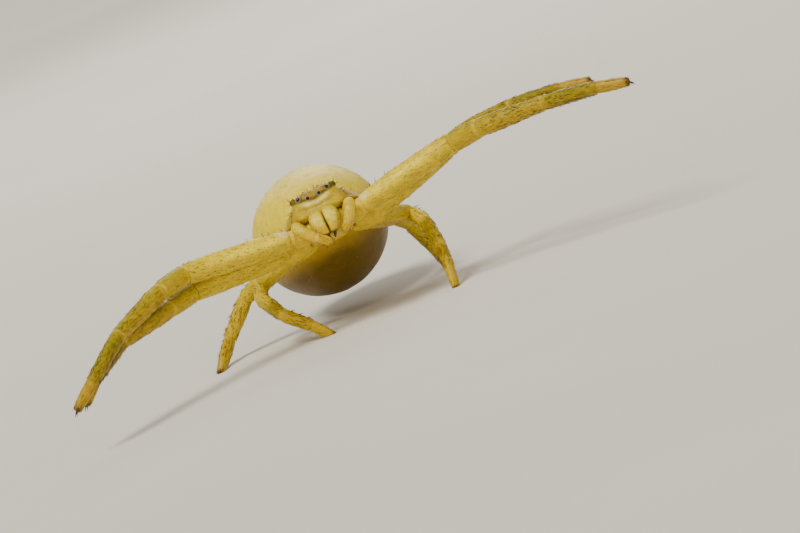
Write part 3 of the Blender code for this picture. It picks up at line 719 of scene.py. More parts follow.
def buildEyes():
    # Each eye is a lens with a black middle and a pale lilac ring, on its own axis
    for name, (place, radius, look, cup) in eyes.items():
        for sideName, side in sideOf.items():
            points, faces = ball((0, 0, 0), 1.0, rounds=40, rings=32)
            toward = points @ unit(onSide(look, side))
            tint = tinted(len(points), "#180a05", (
                (headLook["lilac"], smoothStep(cup + 0.02, cup - 0.06, toward) * 0.8),
                (headLook["eyeBand"], smoothStep(cup - 0.20, cup - 0.42, toward)),
            ))
            # The lens bulges a little over its ring
            bulge = 1.0 + 0.05 * smoothStep(0.66, 0.9, toward)
            points = points * bulge[:, None] * radius * 0.99 + onSide(place, side)
            word = name + "_" + sideName
            skinPiece("lens_" + word, fromBody(points), faces, tint, eyeLens, ["eye_" + word])


buildEyes()

# Each jaw hangs from its root to its tip: place along it, then width and depth as parts of the half sizes
jawProfile = (
    (-0.30, 0.30, 0.10), (-0.20, 0.60, 0.42), (-0.08, 0.78, 0.70), (0.05, 0.90, 0.90), (0.2, 0.98, 1.02),
    (0.4, 1.0, 1.04), (0.7, 0.87, 0.86), (0.9, 0.66, 0.64), (1.0, 0.44, 0.44), (1.03, 0.18, 0.18),
)
jawLook = {
    "root": (0.285, -1.36, -0.02),
    "tip": (0.185, -1.56, -0.84),
    "halfWidth": 0.250,
    "halfDepth": 0.27,
    "fromMiddle": 0.008,
    "base": "#e2ca24",
    # painted highlight across the bulge of each jaw
    "paintedHighlight": "#f6e256",
    "low": "#d4b014",
    "end": "#4a2c08",
    # painted shade on the inner faces, in the narrow gap between the jaws
    "innerFaceShade": "#6a4a10",
}
fangLook = {
    "start": (0.13, -1.56, -0.86),
    "reach": (0.25, 0.7, 0.62),     # inwards, backwards and down, as parts of the length
    "length": 0.28,
    "halfWidth": 0.062,
    "curl": 70,
    "steps": 24,
    "colour": "#2a140a",
}


def jawRings(side, steps=70, count=48):
    # One chelicera as a full lobe, flat where it faces its twin
    root, tip = np.array(jawLook["root"]), np.array(jawLook["tip"])
    c, s = np.cos(angles(count)), np.sin(angles(count))
    rings = []
    for place, wide, deep in curveThrough(jawProfile, steps):
        centre = root + (tip - root) * place
        half = jawLook["halfWidth"] * wide
        x = np.where(c < 0, -np.abs(c) ** 0.40, c) * half + half + jawLook["fromMiddle"]
        crease = 1 + 0.03 * np.sin(34 * place + 2.0 * c) * smoothStep(0.34, 0.05, place)
        y = centre[1] + s * jawLook["halfDepth"] * deep * crease
        rings.append(np.stack([side * x, y, np.full(count, centre[2])], 1))
    return np.array(rings)


def buildFang(sideName, side):
    # The fang folds inwards and back under its jaw
    look = fangLook
    steps = look["steps"]
    inwards, back, down = look["reach"]
    turn = np.linspace(0, radians(look["curl"]), steps)
    curve = np.stack([-side * inwards * np.sin(turn), back * (1 - np.cos(turn)), -down * np.sin(turn)], 1)
    axis = onSide(look["start"], side) + look["length"] * curve
    width = look["halfWidth"] * np.interp(np.linspace(0, 1, steps), (0, 0.5, 0.9, 1), (1.0, 0.74, 0.34, 0.16))
    points, faces, corners = closedTube(ringsAlong(axis, width, width, 20, (0.0, 1.0, 0.0))[0])
    skinPiece("fang_claw_" + sideName, fromBody(points), faces, tinted(len(points), look["colour"]),
              fangChitin, ["fang_" + sideName], corners)


def buildJaws():
    look, made = jawLook, {}
    for sideName, side in sideOf.items():
        points, faces, corners = closedTube(jawRings(side))
        out, low = np.abs(points[:, 0]), points[:, 2]
        tint = tinted(len(points), look["base"], (
            (headLook["cheek"], smoothStep(-0.22, 0.02, low) * 0.8),
            # painted highlight: a lighter band across the middle of the jaw's bulge
            (look["paintedHighlight"], bell(low, -0.30, 0.17) * 0.8),
            (look["low"], smoothStep(-0.50, -0.75, low) * 0.8),
            (look["end"], smoothStep(-0.76, -0.85, low) * 0.9),
            # painted shade: darker on the lower inner faces where the two jaws meet
            (look["innerFaceShade"], smoothStep(0.06, 0.015, out) * smoothStep(-0.05, -0.6, low) * 0.8),
            (headLook["cheek"], smoothStep(0.36, 0.50, out) * 0.6),
        ))
        points[:, 1] += 0.006 * softNoise(points, 7.0, 3.0 * side)
        skinPiece("jaw_" + sideName, fromBody(points), faces, tint, jawCuticle,
                  ["chelicera_" + sideName], corners)
        buildFang(sideName, side)
        made[sideName] = (points, faces)
    return made


jaws = buildJaws()

# Place, radius and stretch of the lip, the lobe beside it and the pale base of the palp
mouthLobes = {
    "lip": ((0, -1.17, -0.80), 0.20, (0.9, 0.75, 1.0)),
    "lobe": ((0.27, -1.20, -0.72), 0.22, (1.0, 0.75, 1.15)),
    "palpBase": ((0.54, -1.19, -0.48), 0.20, (0.95, 0.85, 1.35)),
}
mouthLook = {
    "voxel": 0.022,
    "grooveDepth": 0.015,
    "groovePlace": 0.13,        # from the middle
    "grooveWidth": 0.02,
    "base": "#cfb424",
    "groove": "#8f6a10",
}


def buildMouthparts():
    look, shells = mouthLook, [ball(*mouthLobes["lip"])]
    for side in (1, -1):
        for name in ("lobe", "palpBase"):
            place, radius, stretch = mouthLobes[name]
            shells.append(ball(onSide(place, side), radius, stretch))
    points, faces, normals = mergedShell(shells, look["voxel"], 3)
    groove = bell(np.abs(points[:, 0]), look["groovePlace"], look["grooveWidth"])
    points = points - normals * (look["grooveDepth"] * groove)[:, None]
    tint = tinted(len(points), look["base"], [(look["groove"], groove * 0.6)])
    skinPiece("mouth_lobes", fromBody(points), faces, tint, jawCuticle, ["mouthparts"])


buildMouthparts()
print("jaws, fangs and mouthparts made")

# What every limb shares, in mm where it is a length
limbLook = {
    "cornerLeast": 0.08,        # how far a joint's curve reaches at least, and for its bend
    "cornerEase": 1.15,
    "cornerShare": 0.46,        # the largest part of a segment that it takes up
    "cornerSteps": 16,
    "jointReach": 0.14,         # how far from a joint the rings stand closer together, and how close
    "jointSpacing": 0.018,
    "membraneWidth": 0.038,
    "membraneShare": (0.55, 0.9),   # how much of its draw shows all round, and what is added underneath
    "lipPlace": 0.10,           # the raised edge on both sides of a membrane
    "lipWidth": 0.045,
    "lipRise": 0.03,
    "tipRound": 0.07,
    "hairSink": 0.008,          # how deep a hair's root sits in the skin
    "hairReach": 0.3,           # about how far a hair of size 1 reaches
    "rootRoom": 0.05,           # how far roots and tips stay over the floor
    "tipRoom": 0.02,
}


def roundedAxis(points, radii):
    # The line through the joints with each corner turned into a curve; marks are the corner middles
    look, axis, marks = limbLook, [points[0]], [0]
    steps = look["cornerSteps"]
    for before, corner, after, radius in zip(points, points[1:], points[2:], radii[1:]):
        into, out = corner - before, after - corner
        lengthIn, lengthOut = np.linalg.norm(into), np.linalg.norm(out)
        bend = acos(np.clip(into @ out / lengthIn / lengthOut, -1, 1))
        reach = max(look["cornerLeast"], radius * tan(bend / 2) * look["cornerEase"])
        reach = min(reach, look["cornerShare"] * lengthIn, look["cornerShare"] * lengthOut)
        start, end = corner - into / lengthIn * reach, corner + out / lengthOut * reach
        for k in range(steps + 1):
            t = k / steps
            axis.append(start * (1 - t) ** 2 + corner * (2 * t * (1 - t)) + end * t ** 2)
        marks.append(len(axis) - 1 - steps // 2)
    axis.append(points[-1])
    marks.append(len(axis) - 1)
    axis = np.array(axis)
    lengths = np.concatenate([[0], np.cumsum(np.linalg.norm(np.diff(axis, axis=0), axis=1))])
    return axis, lengths, lengths[marks]


def stretchSamples(marks, total, spacing):
    # Places along a limb: even steps, with closer ones round each joint
    near, fine = limbLook["jointReach"], limbLook["jointSpacing"]
    places = list(np.arange(0, total, spacing))
    for mark in marks[1:-1]:
        places += list(mark + np.arange(-near, near + 0.001, fine))
    places = np.array(sorted(p for p in places if 0 <= p < total - 0.004) + [total])
    return places[np.concatenate([[True], np.diff(places) > fine * 0.45])]


def segmentsAt(marks, s):
    # Which segment each length falls in, and how far along it
    segment = np.clip(np.searchsorted(marks, s, side="right") - 1, 0, len(marks) - 2)
    return segment, (s - marks[segment]) / (marks[segment + 1] - marks[segment])


def rowsAt(s, lengths, rows):
    return np.stack([np.interp(s, lengths, column) for column in rows.T], -1)


def limb(joints, radii, profiles, thickness, flatness, spacing, sides, dip):
    # A whole jointed limb as rings: each segment keeps its profile, and each joint draws in to its membrane
    look = limbLook
    axis, lengths, marks = roundedAxis(joints, radii)
    total = lengths[-1]
    s = stretchSamples(marks, total, spacing)
    centre = rowsAt(s, lengths, axis)
    segment, part = segmentsAt(marks, s)
    fineS = np.arange(0, total + 0.01, 0.01)
    fineSegment, finePart = segmentsAt(marks, fineS)
    half = np.zeros(len(fineS))
    for k, profile in enumerate(profiles):
        on = fineSegment == k
        half[on] = np.interp(finePart[on], *zip(*profile)) * thickness / 2
    half = np.interp(s, fineS, smoothAlong(half, 19))
    draw, lip = np.zeros((2, len(s)))
    for mark in marks[1:-1]:
        draw = np.maximum(draw, bell(s, mark, look["membraneWidth"]))
        lip = np.maximum(lip, bell(np.abs(s - mark), look["lipPlace"], look["lipWidth"]))
    # The tip closes as a round end
    close = np.sqrt(np.clip(1 - (1 - np.clip((total - s) / look["tipRound"], 0, 1)) ** 2, 0.02, 1))
    half = half * (1 + look["lipRise"] * lip) * close
    rings, tangent, right, up = ringsAlong(centre, half * flatness, half, sides)
    # The membrane shows most on the underside
    below = 0.5 - 0.5 * np.sin(angles(sides, -pi / 2))
    allRound, added = look["membraneShare"]
    inwards = 1 - draw[:, None] * (dip * (allRound + added * below))[None, :]
    rings = centre[:, None] + (rings - centre[:, None]) * inwards[..., None]
    return SimpleNamespace(s=s, centre=centre, rings=rings, tangent=tangent, right=right, up=up, half=half,
                           marks=marks, segment=segment, part=part, draw=draw, total=total, flatness=flatness)


def addHair(roots, shape, s, angle, lift, size, sway):
    # One hair at a length and an angle round a limb, leaning to the tip, unless it would reach the floor
    look = limbLook
    k = min(int(np.searchsorted(shape.s, s)), len(shape.s) - 1)
    half = np.interp(s, shape.s, shape.half) * (1 - 0.1 * shape.draw[k])
    right, up, along = (unit(rowsAt(s, shape.s, rows)) for rows in (shape.right, shape.up, shape.tangent))
    out = unit(right * cos(angle) * shape.flatness + up * sin(angle))
    place = rowsAt(s, shape.s, shape.centre)
    place = place + right * (half * shape.flatness * cos(angle)) + up * (half * sin(angle))
    aim = along * cos(radians(lift)) + out * sin(radians(lift)) + np.cross(along, out) * sway
    if place[2] < look["rootRoom"] or place[2] + aim[2] * size * look["hairReach"] < look["tipRoom"]:
        return
    unwrapped = ((angle / (2 * pi) + 0.25) % 1.0, s / shape.total)
    roots.append((place - out * look["hairSink"], aim, along * 0.4 - out, size, unwrapped))


# Legs: femur, patella, tibia, metatarsus and tarsus lengths, then thickness of the femur
legLengths = {
    1: (3.65, 1.30, 2.50, 2.10, 1.15),
    2: (3.45, 1.25, 2.35, 1.95, 1.08),
    3: (2.05, 0.85, 1.35, 1.00, 0.70),
    4: (2.25, 0.88, 1.45, 1.00, 0.72),
}
legThickness = {1: 0.80, 2: 0.74, 3: 0.60, 4: 0.60}
# Thickness along each segment, as parts of the femur's
frontProfiles = (
    ((0.0, 0.50), (0.25, 0.70), (0.60, 0.76), (0.74, 0.66), (0.86, 0.78), (1.0, 0.74)),
    ((0.0, 0.74), (0.10, 0.88), (0.35, 1.0), (0.70, 0.98), (0.90, 0.92), (1.0, 0.84)),
    ((0.0, 0.84), (0.25, 0.88), (0.75, 0.86), (1.0, 0.76)),
    ((0.0, 0.75), (0.2, 0.80), (0.6, 0.72), (1.0, 0.62)),
    ((0.0, 0.62), (0.3, 0.63), (1.0, 0.55)),
    ((0.0, 0.50), (0.5, 0.48), (0.85, 0.40), (1.0, 0.24)),
)
rearProfiles = (
    ((0.0, 0.62), (0.25, 0.88), (0.60, 0.96), (0.74, 0.84), (0.86, 0.96), (1.0, 0.90)),
    ((0.0, 0.88), (0.12, 0.96), (0.40, 1.0), (0.75, 0.94), (0.92, 0.88), (1.0, 0.84)),
    ((0.0, 0.84), (0.25, 0.90), (0.75, 0.88), (1.0, 0.82)),
    ((0.0, 0.80), (0.2, 0.88), (0.6, 0.82), (1.0, 0.74)),
    ((0.0, 0.72), (0.3, 0.74), (1.0, 0.66)),
    ((0.0, 0.62), (0.5, 0.60), (0.85, 0.54), (1.0, 0.40)),
)
# Where each coxa starts and its trochanter ends, in the body's frame (left side)
coxaRoots = {
    1: ((0.70, -0.72, -0.66), (1.33, -0.95, -0.44)),
    2: ((0.84, -0.20, -0.74), (1.58, -0.22, -0.76)),
    3: ((0.82, 0.34, -0.76), (1.50, 0.60, -0.86)),
    4: ((0.66, 0.80, -0.76), (1.18, 1.30, -0.86)),
}
# Azimuth (0 straight ahead, 90 outwards) and elevation of the five outer segments
legPoses = {
    ("left", 1): ((75, 14), (46, 9), (61, 2), (52, -1), (67, -9)),
    ("right", 1): ((77, 5), (43, -5), (44, -14), (40, -25), (52, -31)),
    ("left", 2): ((117, 14), (38, 20), (45, 9), (55, 1), (76, -6)),
    ("right", 2): ((73, 1.4), (42, -5), (49, -6), (37, -18), (38, -32)),
    ("left", 3): ((147, -14), (28, -26), (10, -41), (-2, -43), (-4, -48)),
    ("right", 3): ((134, -20), (8, -22), (-24, -27), (-88, -42), (-94, -38)),
    ("left", 4): ((156, -12), (152, -28), (150, -52), (162, -46), (170, -20)),
    ("right", 4): ((131, -14), (116, -26), (84, -47), (34, -34), (14, -24)),
}
legLook = {
    "sides": 36,
    "spacing": 0.05,
    "flatness": 0.9,
    "membraneDraw": 0.13,       # how far a joint draws in, as a part of its radius
    "endRadius": 0.1,
    "soleReach": 0.12,          # how far a standing foot would go on below the floor
    "coxa": "#d8b800",
    "trochanter": "#f2d840",
    "blush": "#f6dcae",         # pale patch on top of the front femora's bases
    "cream": "#e6c800",
    "creamStreak": "#f4e034",
    "yellow": "#d4b600",
    "knee": "#d4b800",
    "frontBands": (                 # patella, tibia, metatarsus and tarsus
        ("#c4a400", 2.0, 2.25, 1.0), ("#b89800", 2.95, 3.2, 1.0), ("#967e00", 3.95, 4.2, 1.0),
        ("#b89400", 4.95, 5.2, 1.0),
    ),
    "rearBands": (("#be9e00", 3.95, 4.2, 1.0),),        # metatarsus and tarsus
    "tip": "#573206",
    "ring": "#f0d43c",
    "green": "#87900a",         # where the blood shows through the upper side
    "rear": "#ceb000",
}
clawLook = {
    "length": 0.23,
    "drop": 0.10,
    "halfWidth": 0.042,
    "spread": 16,
    "sink": 0.12,               # how far back in a free foot the claws start
    "standing": (0.10, 0.02),   # height of their start in a standing foot, and how far back it is
    "floorRoom": (0.02, 0.004), # over the floor: the axis and the underside of a claw
    "aimDown": 0.05,
    "taper": 0.86,              # the part of the width that is lost towards the point
    "colour": "#2a140a",
}


def legJoints(sideName, pair):
    side = sideOf[sideName]
    points = [fromBody(onSide(place, side)) for place in coxaRoots[pair]]
    for length, (azimuth, elevation) in zip(legLengths[pair], legPoses[(sideName, pair)]):
        a, e = radians(side * azimuth), radians(elevation)
        points.append(points[-1] + length * np.array((cos(e) * sin(a), -cos(e) * cos(a), sin(e))))
    if pair > 2:
        # A standing foot reaches down to the floor
        ankle, tip, reach = points[-2], points[-1], legLengths[pair][-1]
        flat = unit((tip - ankle) * (1, 1, 0))
        points[-1] = ankle + flat * sqrt(max(0.01, reach ** 2 - ankle[2] ** 2)) - (0, 0, ankle[2])
    return points


def legTint(shape, points, pair):
    look, front = legLook, pair < 3
    rings, sides = shape.rings.shape[:2]
    place = np.repeat(shape.segment + shape.part, sides)
    top = np.sin(np.tile(angles(sides, -pi / 2), rings))
    pale = smoothStep(0.70, 0.80, place) * fade(0.98, 1.08, place) * smoothStep(-0.1, 0.7, top)
    layers = [(look["coxa"], fade(0.95, 1.12, place)), (look["trochanter"], pale * 0.8)]
    if front:
        streak = bell(top, 0.45, 0.35) * fade(1.45, 1.95, place) * smoothStep(0.95, 1.1, place)
        blush = smoothStep(0.97, 1.02, place) * fade(1.07, 1.14, place) * smoothStep(0.2, 0.8, top)
        cream = smoothStep(-0.25, 0.35, top) * smoothStep(0.9, 1.1, place) * fade(1.75, 2.0, place)
        layers += [(look["cream"], cream), (look["creamStreak"], streak * 0.8),
                   (look["knee"], smoothStep(1.75, 1.95, place)), (look["blush"], blush * 0.6)]
    layers += bands(place, look["frontBands" if front else "rearBands"])
    if front:
        green = smoothStep(-0.1, 0.8, top) * smoothStep(1.9, 2.15, place) * fade(4.6, 5.0, place)
        layers.append((look["green"], green * 0.32))
    layers += [(look["tip"], smoothStep(5.76, 5.98, place) * 0.85),
               (look["ring"], np.repeat(shape.draw, sides) * 0.4 * (place < 4.9))]
    tint = tinted(len(place), look["yellow" if front else "rear"], layers)
    tint = tint * (1 + 0.10 * softNoise(points[:len(place)], 2.2, pair * 3.1)[:, None])
    return np.vstack([tint, tint[:1], tint[-1:]])


def buildClaws(name, tip, before, standing):
    # Two hooked claws side by side, on the end of the foot
    look = clawLook
    forward = unit(tip - before)
    base = tip - forward * look["sink"]
    if standing:
        forward = unit(forward * (1, 1, 0))
        height, back = look["standing"]
        base = np.array((tip[0], tip[1], height)) - forward * back
    t = np.linspace(0, 1, 14)[:, None]
    width = look["halfWidth"] * (1 - look["taper"] * t[:, 0] ** 1.3)
    claws = []
    for spread in (look["spread"], -look["spread"]):
        a = radians(spread)
        aim = np.array((forward[0] * cos(a) - forward[1] * sin(a), forward[0] * sin(a) + forward[1] * cos(a),
                        forward[2]))
        aim = unit(aim - (0, 0, look["aimDown"]))
        axis = base + aim * look["length"] * t - np.array((0, 0, look["drop"])) * t ** 2.2
        if standing:
            axis[:, 2] = np.maximum(axis[:, 2], look["floorRoom"][0])
        claw = closedTube(ringsAlong(axis, width * 0.75, width, 12)[0])
        if standing:
            claw[0][:, 2] = np.maximum(claw[0][:, 2], look["floorRoom"][1])
        claws.append(claw)
    points, faces = joined(claws)
    skinPiece("claws_" + name, points, faces, tinted(len(points), look["colour"]), clawChitin, [])


# Hairs of each segment: rows round the leg, spacing along it, length, lift in degrees, share of dark ones
hairRows = {
    1: (20, 0.110, 0.112, 17, 0.85),
    2: (19, 0.095, 0.115, 16, 0.80),
    3: (21, 0.085, 0.140, 13, 0.80),
    4: (18, 0.085, 0.145, 13, 0.78),
    5: (14, 0.085, 0.115, 15, 0.50),
}
legHair = {"Length": 0.15, "Thickness": 0.024, "Bend": 0.28, "Variation": 0.25}
# How the hairs differ by chance, and how far they stay from the joints
legHairChance = {"turn": 0.10, "lift": 10, "sway": 0.15, "step": (0.75, 0.5)}
jointRoom = 0.10
# The dark brush round the claws: where it ends and how long it is, and the hairs' least lift and its range
clawBrush = {"hairs": 34, "end": 0.05, "length": 0.14, "lift": 12, "liftRange": 18, "size": 0.55, "sway": 0.2}


def legCoat(shape, pair, sideName, name):
    chance, brush = legHairChance, clawBrush
    darkRoots, paleRoots = [], []
    least, more = chance["step"]
    for segment, (rows, spacing, length, lift, dark) in hairRows.items():
        start, end = shape.marks[segment] + jointRoom, shape.marks[segment + 1] - jointRoom
        for row in range(rows):
            angle = 2 * pi * (row + 0.5 * (segment % 2)) / rows
            s = start + rng.random() * spacing
            while s < end:
                turn = angle + rng.normal() * chance["turn"]
                chosen = darkRoots if rng.random() < dark else paleRoots
                addHair(chosen, shape, s, turn, lift + chance["lift"] * rng.normal(),
                        length / legHair["Length"], chance["sway"] * rng.normal())
                s += spacing * (least + more * rng.random())
    for k in range(brush["hairs"]):
        s = shape.total - brush["end"] - brush["length"] * rng.random()
        addHair(darkRoots, shape, s, rng.random() * 2 * pi, brush["lift"] + brush["liftRange"] * rng.random(),
                brush["size"], brush["sway"] * rng.normal())
    sizes = {**legHair, "Seed": pair + (10 if sideName == "left" else 20)}
    plantedCoat("hairs_dark_" + name, darkRoots, sizes, darkBristle)
    plantedCoat("hairs_pale_" + name, paleRoots, sizes, paleBristle)


# Where the upright bristles stand along the front femora
uprightSpines = {"left": (0.14, 0.21, 0.315), "right": (0.04, 0.154, 0.216, 0.363)}
legSpine = {"Length": 0.26, "Thickness": 0.038, "Tip": 0.15, "Bend": 0.16, "Variation": 0.12, "Sides": 5,
            "Segments": 4, "Seed": 3}


def legSpines(shape, pair, sideName, name):
    # Long bristles: upright ones near the base of the front femora, and pairs on the segments beyond
    roots = []

    def spine(segment, part, degrees, lift, size, sway, beyond=0.0):
        start, end = shape.marks[segment], shape.marks[segment + 1]
        addHair(roots, shape, start + part * (end - start) + beyond, radians(degrees), lift, size, sway)

    if pair < 3:
        for k, part in enumerate(uprightSpines[sideName]):
            spine(1, part, 92 + 6 * (-1) ** k, 72, 0.72 - 0.03 * k, 0.1)
            if k in (1, 2):
                spine(1, part, 104, 14, 0.5, 0.1, 0.04)
        for segment, count, length in ((3, 5, 0.5), (4, 6, 0.55)):
            for k in range(count):
                for degrees in (-112, -68):
                    spine(segment, (k + 0.7) / (count + 0.4), degrees, 30, length, 0.0)
    else:
        for segment in (2, 3, 4):
            for k in range(3):
                for degrees in (70, 115):
                    spine(segment, (k + 0.6) / 3.4, degrees, 42, 0.7, 0.1)
    plantedCoat("spines_" + name, roots, legSpine, darkBristle)


def buildLeg(sideName, pair):
    look = legLook
    joints = legJoints(sideName, pair)
    tip, before = joints[-1], joints[-2]
    standing = pair > 2
    profiles = rearProfiles if standing else frontProfiles
    thickness = legThickness[pair]
    radii = [0.5 * thickness * profile[0][1] for profile in profiles] + [look["endRadius"]]
    if standing:
        joints[-1] = tip + unit(tip - before) * look["soleReach"]
    shape = limb(joints, radii, profiles, thickness, look["flatness"], look["spacing"], look["sides"],
                 look["membraneDraw"])
    points, faces, corners = closedTube(shape.rings)
    tint = legTint(shape, points, pair)
    if standing:
        points[:, 2] = np.maximum(points[:, 2], 0.0)
    name = sideName + "_" + str(pair)
    nodes = ["leg_" + name + "_" + part for part in ("coxa", "femur", "patella", "tibia", "foot")]
    skinPiece("leg_" + name + "_skin", points, faces, tint, legCuticle, nodes, corners)
    buildClaws(name, tip, before, standing)
    legCoat(shape, pair, sideName, name)
    legSpines(shape, pair, sideName, name)


for legPair in (1, 2, 3, 4):
    for legSide in sideOf:
        buildLeg(legSide, legPair)
print("legs made")

# Palps: joints in the body's frame, thickness, and the thickness along each segment as parts of it
palpRoutes = {
    "left": ((0.66, -1.02, -0.52), (0.98, -1.62, -0.16), (0.86, -1.90, -0.45), (0.68, -1.98, -0.78),
             (0.40, -1.88, -1.02)),
    "right": ((-0.66, -1.02, -0.52), (-0.98, -1.62, -0.16), (-0.84, -1.90, -0.42), (-0.52, -2.00, -0.80),
              (-0.04, -1.86, -1.17)),
}
palpLook = {
    "thickness": 0.36,
    "profiles": (
        ((0.0, 0.80), (0.5, 0.98), (1.0, 1.0)),
        ((0.0, 1.02), (0.5, 1.06), (1.0, 0.96)),
        ((0.0, 0.94), (0.5, 1.02), (1.0, 0.96)),
        ((0.0, 0.95), (0.5, 0.88), (0.85, 0.66), (1.0, 0.42)),
    ),
    "sides": 32,
    "spacing": 0.03,
    "membraneDraw": 0.13,
    "hairs": {1: (44, 0.5), 2: (70, 0.6), 3: (120, 0.85)},      # how many on each segment, and their size
    "base": "#dcc224",
    "bands": (("#d8b80c", 1.6, 2.4, 1.0), ("#dab200", 2.5, 3.3, 1.0), ("#8a6408", 3.75, 4.0, 0.6)),
    "ring": "#f5dc88",
}
palpHair = {"Length": 0.13, "Thickness": 0.013, "Seed": 7}


def buildPalp(sideName, route):
    look = palpLook
    thickness, sides = look["thickness"], look["sides"]
    shape = limb(fromBody(route), [thickness / 2] * 5, look["profiles"], thickness, 1.0, look["spacing"],
                 sides, look["membraneDraw"])
    points, faces, corners = closedTube(shape.rings)
    place = np.repeat(shape.segment + shape.part, sides)
    layers = bands(place, look["bands"]) + [(look["ring"], np.repeat(shape.draw, sides) * 0.2)]
    tint = tinted(len(place), look["base"], layers)
    tint = np.vstack([tint, tint[:1], tint[-1:]])
    name = "palp_" + sideName
    skinPiece(name + "_skin", points, faces, tint, legCuticle, [name], corners)
    roots = []
    for segment, (count, size) in look["hairs"].items():
        start, end = shape.marks[segment], shape.marks[segment + 1]
        for k in range(count):
            s = start + rng.random() * (end - start) * 0.97
            addHair(roots, shape, s, rng.random() * 2 * pi, 32 + 12 * rng.normal(), size, 0.2 * rng.normal())
    plantedCoat("hairs_" + name, roots, palpHair, brownBristle)


for palpSide, palpRoute in palpRoutes.items():
    buildPalp(palpSide, palpRoute)
print("palps made")

# Abdomen: centre, half sizes and tilt as in the solids
abdomenLook = {
    "centre": (-0.28, 5.80, 2.78),
    "half": (2.27, 2.80, 2.22),
    "tilt": (-5.0, -4.0, 0.0),
    "widerBehind": 0.13,
    "rings": 150,
    "sides": 200,
    "pits": ((0.20, -0.45), (0.27, -0.10), (0.30, 0.22), (0.22, 0.50)),     # muscle pits in pairs
    "pitDepth": 0.05,
    "pitWidth": 0.035,
    "foldDepth": 0.014,
    "cream": "#ead026",
    "bands": (                      # a pale crown that is partly a painted highlight, rim, a darker side, and an underside darkened as painted shade, by height
        ("#fbe67c", 0.55, 1.0, 1.0), ("#d2b800", 0.55, 0.05, 0.85), ("#c09600", 0.15, -0.25, 0.8),
        ("#5e4700", -0.10, -0.55, 0.9),
    ),
    "pit": "#b39a24",
    "stalk": "#cba636",
    "stalkRadius": 0.25,
}
abdomenBristle = {"Length": 0.12, "Thickness": 0.014, "Tip": 0.25, "Bend": 0.25, "Seed": 5, "Density": 14.0,
                  "Lift": 0.8}
abdomenTurn = turnMatrix(*abdomenLook["tilt"])


def fromAbdomen(points):
    return np.asarray(points) @ abdomenTurn.T + abdomenLook["centre"]


def stalkTube():
    # The narrow stalk to the chest, sunk into both ends
    start, end = fromBody((0.0, 1.60, -0.30)), fromAbdomen((0.0, -0.8 * abdomenLook["half"][1], 0.25))
    t = np.linspace(0, 1, 16)[:, None]
    width = abdomenLook["stalkRadius"] * (0.9 + 0.4 * t[:, 0])
    return closedTube(ringsAlong(start + (end - start) * t, width, width, 32)[0])


def buildAbdomen():
    look = abdomenLook
    rings, sides, size = look["rings"], look["sides"], np.array(look["half"])
    lift = np.linspace(-pi / 2, pi / 2, rings + 2)[1:-1]
    turn = angles(sides, -pi / 2)
    x, z = ((np.cos(lift)[:, None] * wave(turn)).ravel() for wave in (np.cos, np.sin))
    sphere = np.vstack([np.stack([x, np.repeat(np.sin(lift), sides), z], 1), (0, -1, 0), (0, 1, 0)])
    x, y, z = sphere.T
    wide = 1 + look["widerBehind"] * y - 0.04 * y * y
    tall = (1 + 0.05 * y) * (1 - 0.03 * smoothStep(0.0, -0.25, z))
    points = np.stack([x * wide, y, z * tall], 1) * size
    out = unit(points / size ** 2)
    pits = np.zeros(len(points))
    for px, py in look["pits"]:
        for side in (1, -1):
            pit = unit((side * px, py, sqrt(1 - px * px - py * py)))
            pits = np.maximum(pits, bell(np.linalg.norm(sphere - pit, axis=1), 0, look["pitWidth"]))
    # Soft folds along the flanks and behind
    folds = np.sin(16 * z + 1.2 * np.sin(3.0 * y + 1.0)) * smoothStep(-0.2, 0.5, y)
    push = look["foldDepth"] * folds * bell(z, -0.15, 0.35) - look["pitDepth"] * pits
    push += 0.025 * softNoise(sphere, 1.7, 2.0) + 0.010 * softNoise(sphere, 5.0, 7.0)
    points = points + out * push[:, None]

    # Colour bands by height: the pale crown is partly painted highlight, and the dark underside is painted
    # shade
    height = z + 0.18 * softNoise(sphere, 2.0, 4.0)
    layers = bands(height, look["bands"]) + [(look["pit"], pits * 0.5)]
    tint = tinted(len(points), look["cream"], layers)
    tint = tint * (1 + 0.05 * softNoise(sphere, 9.0, 1.0)[:, None])
    faces, corners = tubeFaces(rings, sides)
    stalkPoints, stalkFaces, stalkCorners = stalkTube()
    allPoints, allFaces = joined([(fromAbdomen(points), faces), (stalkPoints, stalkFaces)])
    tint = np.vstack([tint, tinted(len(stalkPoints), look["stalk"])])
    skinPiece("abdomen_skin", allPoints, allFaces, tint, abdomenCuticle, ["abdomen"],
              corners + stalkCorners)
    # Short bristles that lean to the rear
    lie = unit(np.array((0, 1, 0)) - out * out[:, 1:2])
    density = (0.35 + 0.65 * smoothStep(0.0, 0.9, y)) * smoothStep(-0.8, 0.0, z)
    scatteredCoat("bristles_abdomen", fromAbdomen(points), faces, density, lie @ abdomenTurn.T,
                  roundUnwrap(points), abdomenBristle, paleBristle)


# Spinnerets: a low hub with three pairs of blunt cones, each with its place from the middle and its length
spinneretLook = {
    "hub": (0.0, abdomenLook["half"][1] * 0.985 + 0.12, -0.62),
    "hubRadius": 0.30,
    "hubStretch": (1.15, 0.7, 1.0),
    "cones": ((0.14, -0.12, 0.44), (0.09, 0.02, 0.32), (0.16, 0.14, 0.38)),
    "coneStart": 0.08,          # how far behind the hub's middle the cones start
    "coneSpread": 0.14,         # how far they part, as a part of their length
    "widths": ((0, 0.5, 0.9, 1.0), (0.108, 0.088, 0.062, 0.03)),
    "voxel": 0.02,
    "base": "#cfa520",
    "cone": "#8f6c10",
}
spinneretBristle = {"Length": 0.10, "Thickness": 0.016, "Tip": 0.25, "Bend": 0.2, "Seed": 6, "Density": 120.0}


